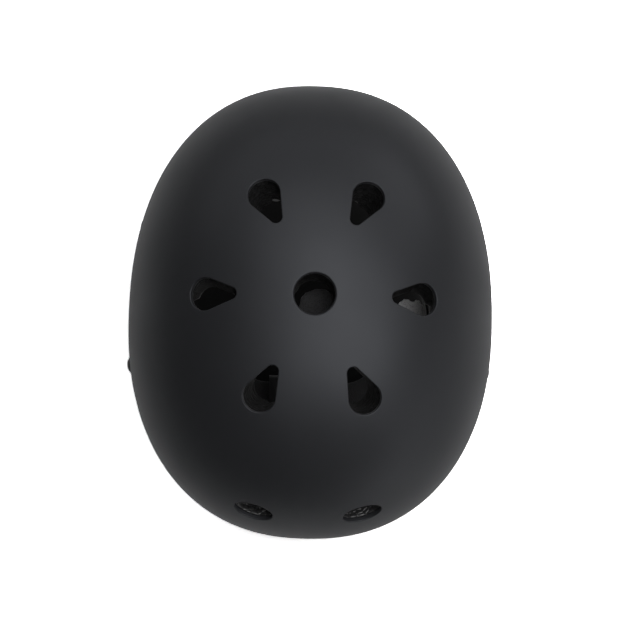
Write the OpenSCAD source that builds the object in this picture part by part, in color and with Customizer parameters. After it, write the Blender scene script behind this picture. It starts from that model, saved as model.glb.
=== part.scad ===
// Hardshell skate helmet: moulded shell, vented foam liner, comfort pads, chin harness and rear fit dial.
// Millimetres. +Z is up, the front of the helmet faces -Y and +X is its left-hand wearer's side.
// The origin is the middle of the head cavity, at the level where the shell is widest.

/* [Shell] */
// Half of the outside width, at the widest level
half_w = 113; // [106:1:120]
// Length from the widest point forward to the front of the shell
front_len = 135; // [128:1:142]
// Length from the widest point back to the rear of the shell
rear_len = 147.5; // [140:0.5:154]
// Height of the crown above the widest level
crown_h = 98; // [92:1:106]
// How far the crown lies behind the widest point
crown_back = 5; // [0:0.5:8]
// Squareness of the outline seen from above, where 2 is an ellipse
plan_power = 2.26; // [2:0.01:2.4]
// Squareness of the dome seen from the side, where 2 is an ellipse
dome_power = 2.15; // [2:0.01:2.3]
// Wall of the moulded shell
shell_t = 3; // [2.2:0.1:4]

/* [Rim] */
// Depth of the brow edge below the widest level
brow_rim = 28; // [22:1:34]
// Depth of the edge over the ears and nape below the widest level
ear_rim = 60; // [54:1:66]
// Inward tuck of the shell at its edge over the ears
tuck_side = 4; // [2:0.5:6]
// Inward tuck of the shell at the brow
tuck_front = 2.5; // [1:0.5:5]
// Inward tuck of the shell at the nape
tuck_rear = 7; // [4:0.5:9]

/* [Vents] */
// Diameter of the round crown vent
crown_vent_d = 25; // [20:0.5:28]
// Chamfer of the crown vent's lip
vent_lip = 1.2; // [0.6:0.1:1.6]
// Radius of a teardrop vent's blunt end
tear_blunt_r = 9.6; // [7:0.2:11]
// Radius of a teardrop vent's pointed end
tear_tail_r = 3.6; // [2.6:0.2:5]
// Distance between the two end centres of a teardrop vent
tear_span = 16.5; // [13:0.5:19]
// Distance from the crown vent's axis to the middle of a front or rear teardrop vent, seen from above
tear_reach = 58.3; // [54:0.1:62]
// The same distance for the two side teardrop vents
tear_side_reach = 56; // [52:0.1:60]
// Angle of the front and rear teardrop vents from the side-to-side line
tear_turn = 62.5; // [56:0.5:66]
// Length of a low oval vent
oval_len = 26; // [20:0.5:30]
// Height of a low oval vent
oval_h = 15; // [11:0.5:17]
// Distance of the front oval vents from the middle plane
oval_front_x = 32.5; // [28:0.5:37]
// Height of the front oval vents above the widest level
oval_front_z = 42; // [36:1:46]
// Distance of the rear oval vents from the middle plane
oval_rear_x = 34; // [29:0.5:39]
// Height of the rear oval vents above the widest level
oval_rear_z = 10; // [7:1:16]
// How much narrower the foam channel is than the shell's opening, all round
channel_inset = 0.8; // [0.4:0.1:1.6]
// How much a foam channel narrows towards the head, as a share of its width for each millimetre of depth
channel_draft = 0.006; // [0.002:0.001:0.009]
// Width of the air grooves inside the foam
groove_w = 11; // [8:0.5:13]
// Depth of those grooves
groove_deep = 5; // [3:0.5:7]

/* [Liner] */
// Thickness of the foam at the sides
foam_side = 26; // [22:1:29]
// Thickness of the foam at the front
foam_front = 31; // [27:1:35]
// Thickness of the foam at the rear
foam_rear = 33; // [29:1:37]
// Thickness of the foam at the crown
foam_crown = 29; // [25:1:33]
// Clearance between the shell and the foam
skin_gap = 0.3; // [0.3:0.05:0.5]
// How far the foam's edge stays above the shell's edge
foam_lift = 3; // [2:0.5:5]
// Height of the bevel on the foam's inner edge
foam_bevel = 9; // [6:1:12]

/* [Pads] */
// Thickness of a comfort pad at its crown
pad_t = 7; // [5:0.5:9]
// Clearance between a pad and the foam
pad_gap = 0.7; // [0.6:0.1:0.9]
// Width of the crown pad, a tongue that runs back over the head to the crown vent
tongue_w = 29; // [24:1:34]
// Length of the crown pad, in plan
tongue_len = 76; // [64:1:84]
// Place of its rear end behind the widest point
tongue_back = 14.7; // [8:0.1:18]
// Distance of its middle line from the middle plane
tongue_side = 3.3; // [0:0.1:5]
// Diameter of a hook disc behind a pad
hook_d = 18; // [14:1:20]
// Thickness of a hook disc
hook_t = 1.4; // [1:0.1:1.8]

/* [Straps] */
// Width of the webbing
web_w = 16; // [14:1:18]
// Thickness of the webbing
web_t = 1.6; // [1.2:0.1:1.9]
// Place of the front strap rivet ahead of the widest point
rivet_front = 28; // [22:1:34]
// Place of the rear strap rivet behind the widest point
rivet_rear = 62; // [56:1:68]
// Depth of the strap rivets below the widest level
rivet_drop = 22; // [18:1:28]
// Diameter of a strap rivet's head
rivet_head_d = 12; // [10:0.5:14]
// Height of a strap rivet's domed head
rivet_head_h = 2.8; // [2:0.1:3.4]
// Diameter of a strap rivet's shank
rivet_d = 4.8; // [4:0.1:5.2]
// Diameter of the washer under a rivet's tail
washer_d = 14; // [11:0.5:16]
// Thickness of that washer
washer_t = 1; // [0.8:0.1:1.4]
// Distance of a strap divider's middle from the middle plane
divider_x = 86; // [82:1:90]
// Place of a strap divider's middle behind the widest point
divider_y = 6; // [2:1:10]
// Depth of a strap divider's middle below the widest level
divider_drop = 102; // [98:1:106]
// Width of a strap divider across the two upper straps
divider_w = 42; // [40:1:46]
// Height of a strap divider
divider_h = 34; // [32:1:38]
// Thickness of a divider's locking flap
flap_t = 2.2; // [1.8:0.1:2.6]
// How far a divider's locking flap opens
flap_open = 80; // [60:5:90]
// Depth of the chin buckle below the widest level
chin_drop = 160; // [154:1:166]
// Place of the chin buckle ahead of the widest point
chin_front = 34; // [28:1:40]

/* [Chin buckle] */
// Width of the buckle's socket
buckle_w = 25; // [24:0.5:28]
// Thickness of the buckle's socket
buckle_t = 10; // [9.4:0.2:11]
// Length of the buckle's socket
socket_len = 33; // [31:1:37]
// Length of the plug outside the socket
plug_len = 18; // [16:1:22]
// Wall of the socket
buckle_wall = 2; // [1.6:0.1:2.4]
// Travel that frees the plug from the socket
plug_travel = 26; // [22:1:28]

/* [Fit dial] */
// Width of the dial's housing
housing_w = 52; // [46:1:58]
// Height of the dial's housing
housing_h = 34; // [32:1:40]
// Thickness of the dial's housing
housing_t = 12; // [10:0.5:14]
// Diameter of the dial knob
knob_d = 28; // [24:1:30]
// Height of the dial knob
knob_h = 9; // [7:0.5:11]
// Place of the housing's back face behind the widest point
housing_y = 104; // [100:1:108]
// Depth of the housing's middle below the widest level
housing_drop = 76; // [74:1:80]
// Height of the fit band
band_h = 13; // [11:0.5:15]
// Thickness of the fit band
band_t = 1.8; // [1.4:0.1:2.2]

/* [Hidden] */

// Columns round the dome and rings down it
cols = 60;
up_rings = 12;
low_rings = 4;
step = 360 / cols;
// How far cutting tools run past what they cut
over = 12;

function spow(v, p) = sign(v) * pow(abs(v), p);
function ease(t) = let(u = max(0, min(1, t))) u * u * (3 - 2 * u);
function unit(v) = v / norm(v);

// Insets of each skin from the outside of the shell: side, front, rear, crown
in_shell = [shell_t, shell_t, shell_t, shell_t];
foam_out = in_shell + skin_gap * [1, 1, 1, 1];
foam_in = foam_out + [foam_side, foam_front, foam_rear, foam_crown];

// The edge drops in a smooth ramp from the brow to the ears
ramp_back = 42;
ramp_start = -front_len + ramp_back;
ramp_len = 76;
function rim_depth(y) = brow_rim + (ear_rim - brow_rim) * ease((y - ramp_start) / ramp_len);

function half_y(s, a) = sin(a) < 0 ? front_len - s[1] : rear_len - s[2];
function tuck(a) = tuck_side / half_w * cos(a) * cos(a)
    + (sin(a) < 0 ? tuck_front / front_len : tuck_rear / rear_len) * sin(a) * sin(a);

// A point of the dome: s is the skin's insets, a the direction, f the height from -1 (rim) to 1 (crown)
function skin(s, a, f, lift = 0) =
    let(
        px = spow(cos(a), 2 / plan_power),
        py = spow(sin(a), 2 / plan_power),
        rho = f > 0 ? pow(cos(90 * f), 2 / dome_power) : 1 - tuck(a) * f * f,
        rise = f > 0 ? pow(sin(90 * f), 2 / dome_power) : 0,
        z = f > 0 ? (crown_h - s[3]) * rise : f * (rim_depth(half_y([0, 0, 0, 0], a) * py) - lift)
    )
    [(half_w - s[0]) * rho * px, half_y(s, a) * rho * py + crown_back * rise * rise, z];

heights = [for (i = [1 : up_rings]) 1 - i / up_rings, for (i = [1 : low_rings]) -i / low_rings];
function ring(s, f, lift) = [for (j = [0 : cols - 1]) skin(s, j * step, f, lift)];

// A closed dome between an outer and an inner skin, whose rim edges lie at their own lifts
module dome(outer, inner, lift_out, lift_in) {
    n = len(heights);
    points = concat(
        [skin(outer, 0, 1)],
        [for (f = heights) each ring(outer, f, lift_out)],
        [for (i = [n - 1 : -1 : 0]) each ring(inner, heights[i], lift_in)],
        [skin(inner, 0, 1)]);
    last = 2 * n * cols + 1;
    faces = concat(
        [for (j = [0 : cols - 1]) [0, 1 + (j + 1) % cols, 1 + j]],
        [for (r = [0 : 2 * n - 2], j = [0 : cols - 1])
            let(p = 1 + r * cols + j, q = 1 + r * cols + (j + 1) % cols)
            each [[p, q, q + cols], [p, q + cols, p + cols]]],
        [for (j = [0 : cols - 1])
            [last - cols + j, last - cols + (j + 1) % cols, last]]);
    polyhedron(points, faces, 4);
}

// Height of the shell's outside over a point in plan, found by halving
function dome_level(x, y, z) =
    let(t = z / crown_h, back = y - crown_back * pow(t, 2), len = back < 0 ? front_len : rear_len)
    pow(pow(abs(x) / half_w, plan_power) + pow(abs(back) / len, plan_power), dome_power / plan_power)
        + pow(t, dome_power);
function dome_z(x, y, lo = 0, hi = crown_h, turns = 24) =
    let(mid = (lo + hi) / 2)
    turns == 0 ? mid
    : dome_level(x, y, mid) > 1 ? dome_z(x, y, lo, mid, turns - 1)
    : dome_z(x, y, mid, hi, turns - 1);
// Distance from the middle plane to the front or rear of the dome at a height, at a given x
function dome_y(x, z, way, lo = 0, hi = 160, turns = 24) =
    let(mid = (lo + hi) / 2)
    turns == 0 ? way * mid
    : dome_level(x, way * mid, z) > 1 ? dome_y(x, z, way, lo, mid, turns - 1)
    : dome_y(x, z, way, mid, hi, turns - 1);
nudge = 0.01;
function dome_normal(p) = unit([
    dome_level(p.x + nudge, p.y, p.z) - dome_level(p.x - nudge, p.y, p.z),
    dome_level(p.x, p.y + nudge, p.z) - dome_level(p.x, p.y - nudge, p.z),
    dome_level(p.x, p.y, p.z + nudge) - dome_level(p.x, p.y, p.z - nudge)]);

// Children stand on the dome at p, with their +Z out along its normal and their +X along the plan heading
module on_dome(p, heading) {
    n = dome_normal(p);
    lean = acos(n.z);
    turn = heading - atan2(n.y, n.x);
    translate(p)
        rotate([0, lean, atan2(n.y, n.x)])
            rotate(atan2(sin(turn), cos(turn) / cos(lean)))
                children();
}

// Outline of a teardrop, blunt end towards +X, grown by g
tear_points = 12;
function tear_outline(g) =
    let(
        r1 = tear_blunt_r + g,
        r2 = tear_tail_r + g,
        open = acos((r1 - r2) / tear_span),
        n = tear_points
    )
    concat(
        [for (i = [-n : n]) [tear_span / 2, 0] + r1 * [cos((180 - open) * i / n), sin((180 - open) * i / n)]],
        [for (i = [-n / 2 : n / 2])
            [-tear_span / 2, 0] + r2 * [-cos(open * 2 * i / n), sin(-open * 2 * i / n)]]);

// Outline of an oval, long along X, grown by g
oval_points = 32;
function oval_outline(g) =
    [for (i = [0 : oval_points - 1])
        let(a = 360 * i / oval_points)
        [(oval_len / 2 + g) * cos(a), (oval_h / 2 + g) * sin(a)]];

tear_turns = [0, tear_turn, 180 - tear_turn, 180, 180 + tear_turn, 360 - tear_turn];
function tear_place(a) =
    let(
        reach = a % 180 == 0 ? tear_side_reach : tear_reach,
        x = reach * cos(a),
        y = crown_back + reach * sin(a)
    )
    [x, y, dome_z(x, y)];
oval_places = [for (side = [-1, 1], end = [[oval_front_x, oval_front_z, -1], [oval_rear_x, oval_rear_z, 1]])
    [side * end[0], dome_y(end[0], end[1], end[2]), end[1]]];
// An oval lies across the slope, so its heading in plan is square to the dome's normal
function across(p) = let(n = dome_normal(p)) atan2(n.y, n.x) + 90;

// An outline drawn at the shell's outside and cut down to a depth, narrower below by the draft
module cut_in(depth, draft) {
    low = 1 - draft * depth;
    translate([0, 0, -depth])
        if (draft == 0)
            linear_extrude(depth + over)
                children();
        else
            linear_extrude(depth + over, scale = (1 + draft * over) / low)
                scale(low)
                    children();
}

// Every vent's cutting tool, grown by g, from depth below the shell's outside to above it
module vents(g, depth, draft) {
    crown_d = crown_vent_d + 2 * g;
    translate([0, crown_back, crown_h - depth])
        cylinder(h = depth + over, d1 = crown_d * (1 - draft * depth), d2 = crown_d * (1 + draft * over),
            $fn = 48);
    for (a = tear_turns)
        on_dome(tear_place(a), a)
            cut_in(depth, draft)
                polygon(tear_outline(g));
    for (p = oval_places)
        on_dome(p, across(p))
            cut_in(depth, draft)
                polygon(oval_outline(g));
}

// Half-width of the skin inset by d, at a place y and a height z at or below the widest level
function side_x(d, y, z) =
    let(
        len = y < 0 ? front_len : rear_len,
        share = pow(abs(y / len), plan_power),
        tuck_y = y < 0 ? tuck_front / front_len : tuck_rear / rear_len,
        f = z / rim_depth(y),
        rho = 1 - (tuck_side / half_w * (1 - share) + tuck_y * share) * f * f
    )
    (half_w - d) * pow(pow(rho, plan_power) - pow(abs(y) / (len - d), plan_power), 1 / plan_power);

function side_normal(y, z) = unit([
    1,
    (side_x(0, y - nudge, z) - side_x(0, y + nudge, z)) / (2 * nudge),
    (side_x(0, y, z - nudge) - side_x(0, y, z + nudge)) / (2 * nudge)]);
// The point at a depth below the shell's right-hand side
function side_point(y, z, depth) = [side_x(0, y, z), y, z] - depth * side_normal(y, z);

// Children stand on the shell's right-hand side at y and z, with their +Z out along its normal
module on_side(y, z) {
    n = side_normal(y, z);
    translate(side_point(y, z, 0))
        rotate([0, acos(n.z), atan2(n.y, n.x)])
            children();
}

// Children stand on a skin at direction a and height f, with their +Z out along its normal
module on_skin(s, a, f) {
    n = unit(cross(
        skin(s, a + nudge, f) - skin(s, a - nudge, f),
        skin(s, a, f + nudge) - skin(s, a, f - nudge)));
    translate(skin(s, a, f))
        rotate([0, acos(n.z), atan2(n.y, n.x)])
            children();
}

module both_sides() {
    children();
    mirror([1, 0, 0])
        children();
}

// A closed tube through rings of points, each ring with the same number of points
module loft(rings) {
    n = len(rings[0]);
    last = (len(rings) - 1) * n;
    polyhedron(
        [for (r = rings) each r],
        concat(
            [[for (j = [0 : n - 1]) j]],
            [for (r = [0 : len(rings) - 2], j = [0 : n - 1])
                let(p = r * n + j, q = r * n + (j + 1) % n)
                each [[p, p + n, q + n], [p, q + n, q]]],
            [[for (j = [n - 1 : -1 : 0]) last + j]]),
        4);
}

// Flat band of width w and thickness t along a path, lying as wide as it can along its hints,
// which are one direction or one for each point
function band_rings(path, w, t, hints) =
    [for (i = [0 : len(path) - 1])
        let(
            along = unit(path[min(i + 1, len(path) - 1)] - path[max(i - 1, 0)]),
            hint = is_list(hints[0]) ? hints[i] : hints,
            wide = unit(hint - (hint * along) * along),
            thick = cross(along, wide)
        )
        [for (c = [[-1, -1], [-1, 1], [1, 1], [1, -1]])
            path[i] + wide * c[0] * w / 2 + thick * c[1] * t / 2]];

// Strap rivets and the webbing that they hold
web_gap = 0.85;
web_depth = shell_t + web_gap + web_t / 2;
seat_depth = 0.6;
fit_gap = 0.1;
stack_gap = 0.2;
washer_top = web_depth + web_t / 2 + stack_gap;
tail_top = washer_top + washer_t;
tail_h = 1.4;
tail_flare = 1.8;
pocket_depth = tail_top + tail_h + 1;
pocket_w = web_w + 5;
rivet_places = [[-rivet_front, -rivet_drop], [rivet_rear, -rivet_drop]];

// Strap dividers: where they hang, how they lean in under the rim and swing towards the chin
exit_drop = ear_rim + 2;
divider_lean = atan((side_x(web_depth, divider_y, -ear_rim) - divider_x) / (divider_drop - exit_drop));
divider_swing = 14;
divider_wall = 1.3;
flap_gap = 0.2;
web_slot = web_t + 0.5;
divider_in = web_slot / 2 + divider_wall;
// Room beside the webbing in a slot
side_gap = 0.4;
flap_floor_t = 0.8;
flap_floor = web_slot / 2 + flap_floor_t;
divider_out = flap_floor + flap_t + 2 * flap_gap;
web_grip = 8;
upper_slot_y = 10.5;

function turn_x(p, a) = [p.x, p.y * cos(a) - p.z * sin(a), p.y * sin(a) + p.z * cos(a)];
function turn_y(p, a) = [p.x * cos(a) + p.z * sin(a), p.y, -p.x * sin(a) + p.z * cos(a)];
divider_p = [divider_x, divider_y, -divider_drop];
function at_divider(p) = divider_p + turn_y(turn_x(p, -divider_swing), divider_lean);
function in_divider(p) = turn_x(turn_y(p - divider_p, -divider_lean), divider_swing);
across_divider = at_divider([0, 1, 0]) - divider_p;
module on_divider() {
    translate(divider_p)
        rotate([0, divider_lean, 0])
            rotate([-divider_swing, 0, 0])
                children();
}

// An upper strap runs straight in side view from its rivet to the divider, inside the shell and then free
strap_end = 10;
strap_step = 8;
slot_lead = 2;
function upper_path(place, way) =
    let(
        mouth = at_divider([0, way * upper_slot_y, divider_h / 2]),
        slope = (mouth.y - place[0]) / (mouth.z - place[1]),
        side = [for (z = [place[1] + strap_end : -strap_step : -ear_rim - 1])
            side_point(place[0] + (z - place[1]) * slope, z, web_depth)],
        last = in_divider(side[len(side) - 1]),
        fall = unit([0, way * upper_slot_y - last.y, divider_h / 2 - last.z]),
        low = [0, way * upper_slot_y, divider_h / 2]
    )
    concat(side, [at_divider(low - slot_lead * fall), at_divider(low), at_divider(low + web_grip * fall)]);
// The webbing lies flat against the shell first, and flat in the divider's slot last
function upper_hints(path) =
    [for (i = [0 : len(path) - 1])
        i < len(path) - 3 ? cross([0, 0, 1], side_normal(path[i].y, path[i].z)) : across_divider];
front_path = upper_path(rivet_places[0], -1);
rear_path = upper_path(rivet_places[1], 1);

// The chin strap leaves the divider straight and then curves in to the buckle
keeper_run = 30;
chin_steps = 10;
chin_lead = 22;
chin_reach = 26;
socket_x = -socket_len * 0.75;
mouth_x = socket_x + socket_len;
plug_x = mouth_x + skin_gap;
plug_end = plug_x + plug_len;
function bezier(p, t) =
    pow(1 - t, 3) * p[0] + 3 * pow(1 - t, 2) * t * p[1] + 3 * (1 - t) * t * t * p[2] + t * t * t * p[3];
function chin_path(end_x) =
    let(
        start = at_divider([0, 0, -divider_h / 2 - keeper_run]),
        way = unit(start - at_divider([0, 0, 0])),
        stop = [end_x, -chin_front, -chin_drop]
    )
    concat(
        [at_divider([0, 0, web_grip - divider_h / 2])],
        [for (i = [0 : 3]) at_divider([0, 0, -divider_h / 2 - keeper_run * i / 4])],
        [for (i = [0 : chin_steps])
            bezier([start, start + chin_lead * way, stop + [chin_reach, 0, 0], stop], i / chin_steps)],
        [stop - [web_grip, 0, 0]]);
function mirrored(path) = [for (p = path) [-p.x, p.y, p.z]];
right_chin_path = chin_path(plug_end);
left_chin_path = mirrored(chin_path(-socket_x));

module web(path, w = web_w, t = web_t, hints = [0, 1, 0]) {
    color([0.09, 0.09, 0.095])
        loft(band_rings(path, w, t, hints));
}

module upper_strap(path, place) {
    difference() {
        web(path, hints = upper_hints(path));
        on_side(place[0], place[1])
            translate([0, 0, -pocket_depth])
                cylinder(h = pocket_depth, d = rivet_d + 4 * fit_gap, $fn = 32);
    }
}

// Comfort pads: place(u, v, rise) puts a point of the pad on what carries it, rise above its back
pad_edge = 1.6;
pad_rings = 5;
pad_cols = 32;
pad_power = 4;
pad_draw_share = 0.05;
function pad_rise(rho, t) = pad_edge + (t - pad_edge) * pow(1 - pow(rho, 3), 0.6);

// A closed cushion with rounded corners, crowned on its free side and drawn in along its four sides
module cushion(place, t) {
    m = pad_cols;
    shares = [for (k = [1 : pad_rings]) k / pad_rings];
    function spot(rho, a, rise) =
        let(r = rho * (1 - pad_draw_share * pow(cos(2 * a), 2)))
        place(r * spow(cos(a), 2 / pad_power), r * spow(sin(a), 2 / pad_power), rise);
    function hoop(rho, rise) = [for (j = [0 : m - 1]) spot(rho, j * 360 / m, rise)];
    points = concat(
        [place(0, 0, 0)],
        [for (rho = shares) each hoop(rho, 0)],
        [for (i = [pad_rings - 1 : -1 : 0]) each hoop(shares[i] * 0.995, pad_rise(shares[i], t))],
        [place(0, 0, pad_rise(0, t))]);
    last = len(points) - 1;
    color([0.2, 0.2, 0.21])
        polyhedron(points, concat(
            [for (j = [0 : m - 1]) [0, 1 + (j + 1) % m, 1 + j]],
            [for (r = [0 : 2 * pad_rings - 2], j = [0 : m - 1])
                let(p = 1 + r * m + j, q = 1 + r * m + (j + 1) % m)
                each [[p, q, q + m], [p, q + m, p + m]]],
            [for (j = [0 : m - 1]) [last - m + j, last - m + (j + 1) % m, last]]), 4);
}

// A pad on the foam: its middle direction, its half width in degrees, and its reach up and down in heights
front_pad_c = [270, 40, 0.2, 0.8];
side_pad_c = [0, 27, 0.24, 0.5];
rear_pad_c = [90, 32, 0.24, 0.55];
module foam_pad(c) {
    cushion(
        function(u, v, rise) skin(foam_in + (pad_gap + rise) * [1, 1, 1, 1], c[0] + u * c[1],
            v > 0 ? v * c[2] : v * c[3], foam_lift + foam_bevel),
        pad_t);
}

// A temple pad lies higher than the side pad. The right one's rear end comes under the side vent,
// and the left one sits a little further forward
temple_f = 0.485;
temple_half_f = 0.14;
temple_half_turn = 26;
temple_turn = -22.5;
temple_shift_turn = -9.5;
module temple_pad(turn) {
    cushion(
        function(u, v, rise) skin(foam_in + (pad_gap + rise) * [1, 1, 1, 1],
            turn + u * temple_half_turn, temple_f + v * temple_half_f),
        pad_t);
}

// Height of a skin inset by s over a point in plan, found by halving
function inset_level(s, x, y, z) =
    let(
        t = z / (crown_h - s[3]),
        back = y - crown_back * pow(t, 2),
        len = back < 0 ? front_len - s[1] : rear_len - s[2]
    )
    pow(pow(abs(x) / (half_w - s[0]), plan_power) + pow(abs(back) / len, plan_power), dome_power / plan_power)
        + pow(t, dome_power);
function inset_z(s, x, y, lo, hi, turns = 22) =
    let(mid = (lo + hi) / 2)
    turns == 0 ? mid
    : inset_level(s, x, y, mid) > 1 ? inset_z(s, x, y, lo, mid, turns - 1)
    : inset_z(s, x, y, mid, hi, turns - 1);
module crown_pad() {
    cushion(
        function(u, v, rise)
            let(
                s = foam_in + (pad_gap + rise) * [1, 1, 1, 1],
                x = tongue_side - u * tongue_w / 2,
                y = tongue_back - tongue_len / 2 - v * tongue_len / 2
            )
            [x, y, inset_z(s, x, y, 0, crown_h - s[3])],
        pad_t);
}

// Directions of the hook discs behind the front, side and rear pads, the temple pads and the crown pad,
// each with its height
pad_hook_f = 0.03;
temple_hook_turn = -26;
crown_hook_f = [0.677, 0.859];
hook_places = [for (a = [250, 290, -12, 12, 168, 192, 75, 105]) [a, pad_hook_f],
    [temple_hook_turn, temple_f], [180 - temple_hook_turn - temple_shift_turn, temple_f],
    for (f = crown_hook_f) [270, f]];

// Fit band: from an anchor in the foam, back round the head to the dial's housing
band_foam_gap = 2.2;
band_side = half_w - shell_t - skin_gap - foam_side - tuck_side - band_foam_gap;
anchor_y = -4;
anchor_drop = 44;
band_in_housing = 8;
band_end_x = housing_w / 2 - band_in_housing;
band_mid_y = housing_y - housing_t / 2;
band_last = acos(band_end_x / band_side);
band_len_y = band_mid_y / sin(band_last);
band_lead_turn = 5;
band_first = asin(anchor_y / band_len_y) - band_lead_turn;
band_rings = 26;
// The band has come down to the housing's level a tenth before its end
level_share = 0.9;
band_path = [for (i = [0 : band_rings])
    let(
        t = i / band_rings,
        a = band_first + (band_last - band_first) * t
    )
    [band_side * cos(a), band_len_y * sin(a),
        -anchor_drop - (housing_drop - anchor_drop) * ease(t / level_share)]];
anchor_x = band_side * cos(asin(anchor_y / band_len_y));
anchor_hole_d = 5;
anchor_len = 13;
anchor_flange_d = 9;
anchor_flange_t = 1.6;

module shell() {
    color([0.16, 0.165, 0.175])
        difference() {
            dome([0, 0, 0, 0], in_shell, 0, 0);
            vents(0, 3 * shell_t, 0);
            translate([0, crown_back, crown_h - vent_lip])
                cylinder(h = 2 * vent_lip, d1 = crown_vent_d, d2 = crown_vent_d + 4 * vent_lip, $fn = 48);
            both_sides()
                for (p = rivet_places)
                    on_side(p[0], p[1]) {
                        translate([0, 0, -seat_depth])
                            cylinder(h = over, d = rivet_head_d + 4 * fit_gap, $fn = 48);
                        translate([0, 0, -over])
                            cylinder(h = 2 * over, d = rivet_d + 2 * fit_gap, $fn = 32);
                    }
        }
}

// The pocket that takes a strap's top end, the washer and the rivet's tail, open at the foam's edge
module strap_pocket(place, path) {
    low = path[len(path) - 3];
    lean = atan2(low.y - place[0], place[1] - low.z);
    on_side(place[0], place[1])
        rotate(lean)
            translate([-strap_end - 3, -pocket_w / 2, -pocket_depth])
                cube([ear_rim + 2 * over, pocket_w, pocket_depth + over]);
}

// Air grooves inside the foam, from the crown vent out to each teardrop vent and on to the oval beyond it
groove_steps = 14;
groove_top = 0.955;
groove_taper = 0.7;
groove_clear = 3;
// Corners of a groove's section: part of its half width, and depth into the foam
groove_section = [[-1, -groove_clear], [-groove_taper, groove_deep], [groove_taper, groove_deep],
    [1, -groove_clear]];
function oval_turn(p) = atan2(p.y, p.x);
function groove_ends(a) =
    a % 180 == 0 ? [a, 0.36]
    : sin(a) > 0 ? [90 - sign(cos(a)) * (90 - oval_turn([oval_rear_x, rear_len])), 0.14]
    : [270 + sign(cos(a)) * (90 - oval_turn([oval_front_x, front_len])), 0.26];
function groove_rings(a) =
    let(
        ends = groove_ends(a),
        path = function(t) let(f = groove_top + (ends[1] - groove_top) * t)
            skin(foam_in, a + (ends[0] - a) * ease(t), f)
    )
    [for (i = [0 : groove_steps])
        let(
            t = i / groove_steps,
            p = path(t),
            along = unit(path(t + nudge) - path(t - nudge)),
            f = groove_top + (ends[1] - groove_top) * t,
            turn = a + (ends[0] - a) * ease(t),
            out = unit(cross(
                skin(foam_in, turn + nudge, f) - skin(foam_in, turn - nudge, f),
                skin(foam_in, turn, f + nudge) - skin(foam_in, turn, f - nudge))),
            wide = cross(along, out)
        )
        [for (c = groove_section)
            p + wide * c[0] * groove_w / 2 + out * c[1]]];
module air_grooves() {
    for (a = tear_turns)
        loft(groove_rings(a));
}

module eps_liner() {
    color([0.1, 0.1, 0.105])
        difference() {
            dome(foam_out, foam_in, foam_lift, foam_lift + foam_bevel);
            vents(-channel_inset, 2 * foam_rear, channel_draft);
            air_grooves();
            both_sides() {
                strap_pocket(rivet_places[0], front_path);
                strap_pocket(rivet_places[1], rear_path);
                translate([anchor_x, anchor_y, -anchor_drop])
                    rotate([0, 90, 0])
                        cylinder(h = anchor_len + 1, d = anchor_hole_d + 4 * fit_gap, $fn = 32);
            }
            for (p = hook_places)
                on_skin(foam_in, p[0], p[1])
                    translate([0, 0, -over])
                        cylinder(h = over + hook_t + skin_gap, d = hook_d + 4 * fit_gap, $fn = 32);
        }
}

module pad_hooks() {
    color([0.08, 0.08, 0.08])
        for (p = hook_places)
            on_skin(foam_in, p[0], p[1])
                cylinder(h = hook_t, d = hook_d, $fn = 32);
}

// Domed head, shank and flared tail, turned about the shell's normal
module strap_rivet() {
    dome_n = 8;
    head_r = rivet_head_d / 2;
    edge = 0.8;
    rotate_extrude($fn = 48)
        polygon(concat(
            [[0, -tail_top - tail_h], [rivet_d / 2 + tail_flare, -tail_top - tail_h],
                [rivet_d / 2 + tail_flare, -tail_top - fit_gap], [rivet_d / 2, -tail_top - fit_gap],
                [rivet_d / 2, -seat_depth + fit_gap], [head_r, -seat_depth + fit_gap]],
            [for (i = [0 : dome_n])
                let(a = 90 * i / dome_n)
                [head_r * cos(a), edge - seat_depth + (rivet_head_h - edge) * sin(a)]]));
}

module strap_rivets() {
    color([0.12, 0.12, 0.125])
        both_sides()
            for (p = rivet_places)
                on_side(p[0], p[1])
                    strap_rivet();
}

module rivet_washers() {
    color([0.6, 0.6, 0.62])
        both_sides()
            for (p = rivet_places)
                on_side(p[0], p[1])
                    translate([0, 0, -tail_top])
                        difference() {
                            cylinder(h = washer_t, d = washer_d, $fn = 48);
                            translate([0, 0, -1])
                                cylinder(h = washer_t + 2, d = rivet_d + 2 * fit_gap, $fn = 32);
                        }
}

// Outline of a divider, anticlockwise: wide at its two upper slots and narrow at the chin strap
divider_low_w = web_w + 7;
divider_corner = 3;
divider_waist = 0.35;
corner_steps = 3;
function divider_outline() =
    let(
        w = divider_w / 2 - divider_corner,
        l = divider_low_w / 2 - divider_corner,
        h = divider_h / 2 - divider_corner,
        slope = atan2(w - l, h + h * divider_waist),
        // Each corner's middle, and the directions where its arc starts and ends
        corners = [[w, h, 0, 90], [-w, h, 90, 180], [-w, h * divider_waist, 180, 180 + slope],
            [-l, -h, 180 + slope, 270], [l, -h, 270, 360 - slope], [w, h * divider_waist, 360 - slope, 360]]
    )
    [for (c = corners, t = [0 : corner_steps])
        let(a = c[2] + (c[3] - c[2]) * t / corner_steps)
        [c[0], c[1]] + divider_corner * [cos(a), sin(a)]];

flap_w = web_w + 4;
flap_rise = 7;
flap_low = -divider_h / 2 + flap_rise;
flap_h = divider_h - flap_rise - 6;
notch_r = 5;
rib_r = 0.5;
rib_step = 2;
ribs = 4;
flap_axis_x = flap_floor + flap_gap + flap_t / 2;
flap_pin_d = 2;
flap_pin_len = 1.6;
pin_gap = 0.05;
recess_side = 0.4;

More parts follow.
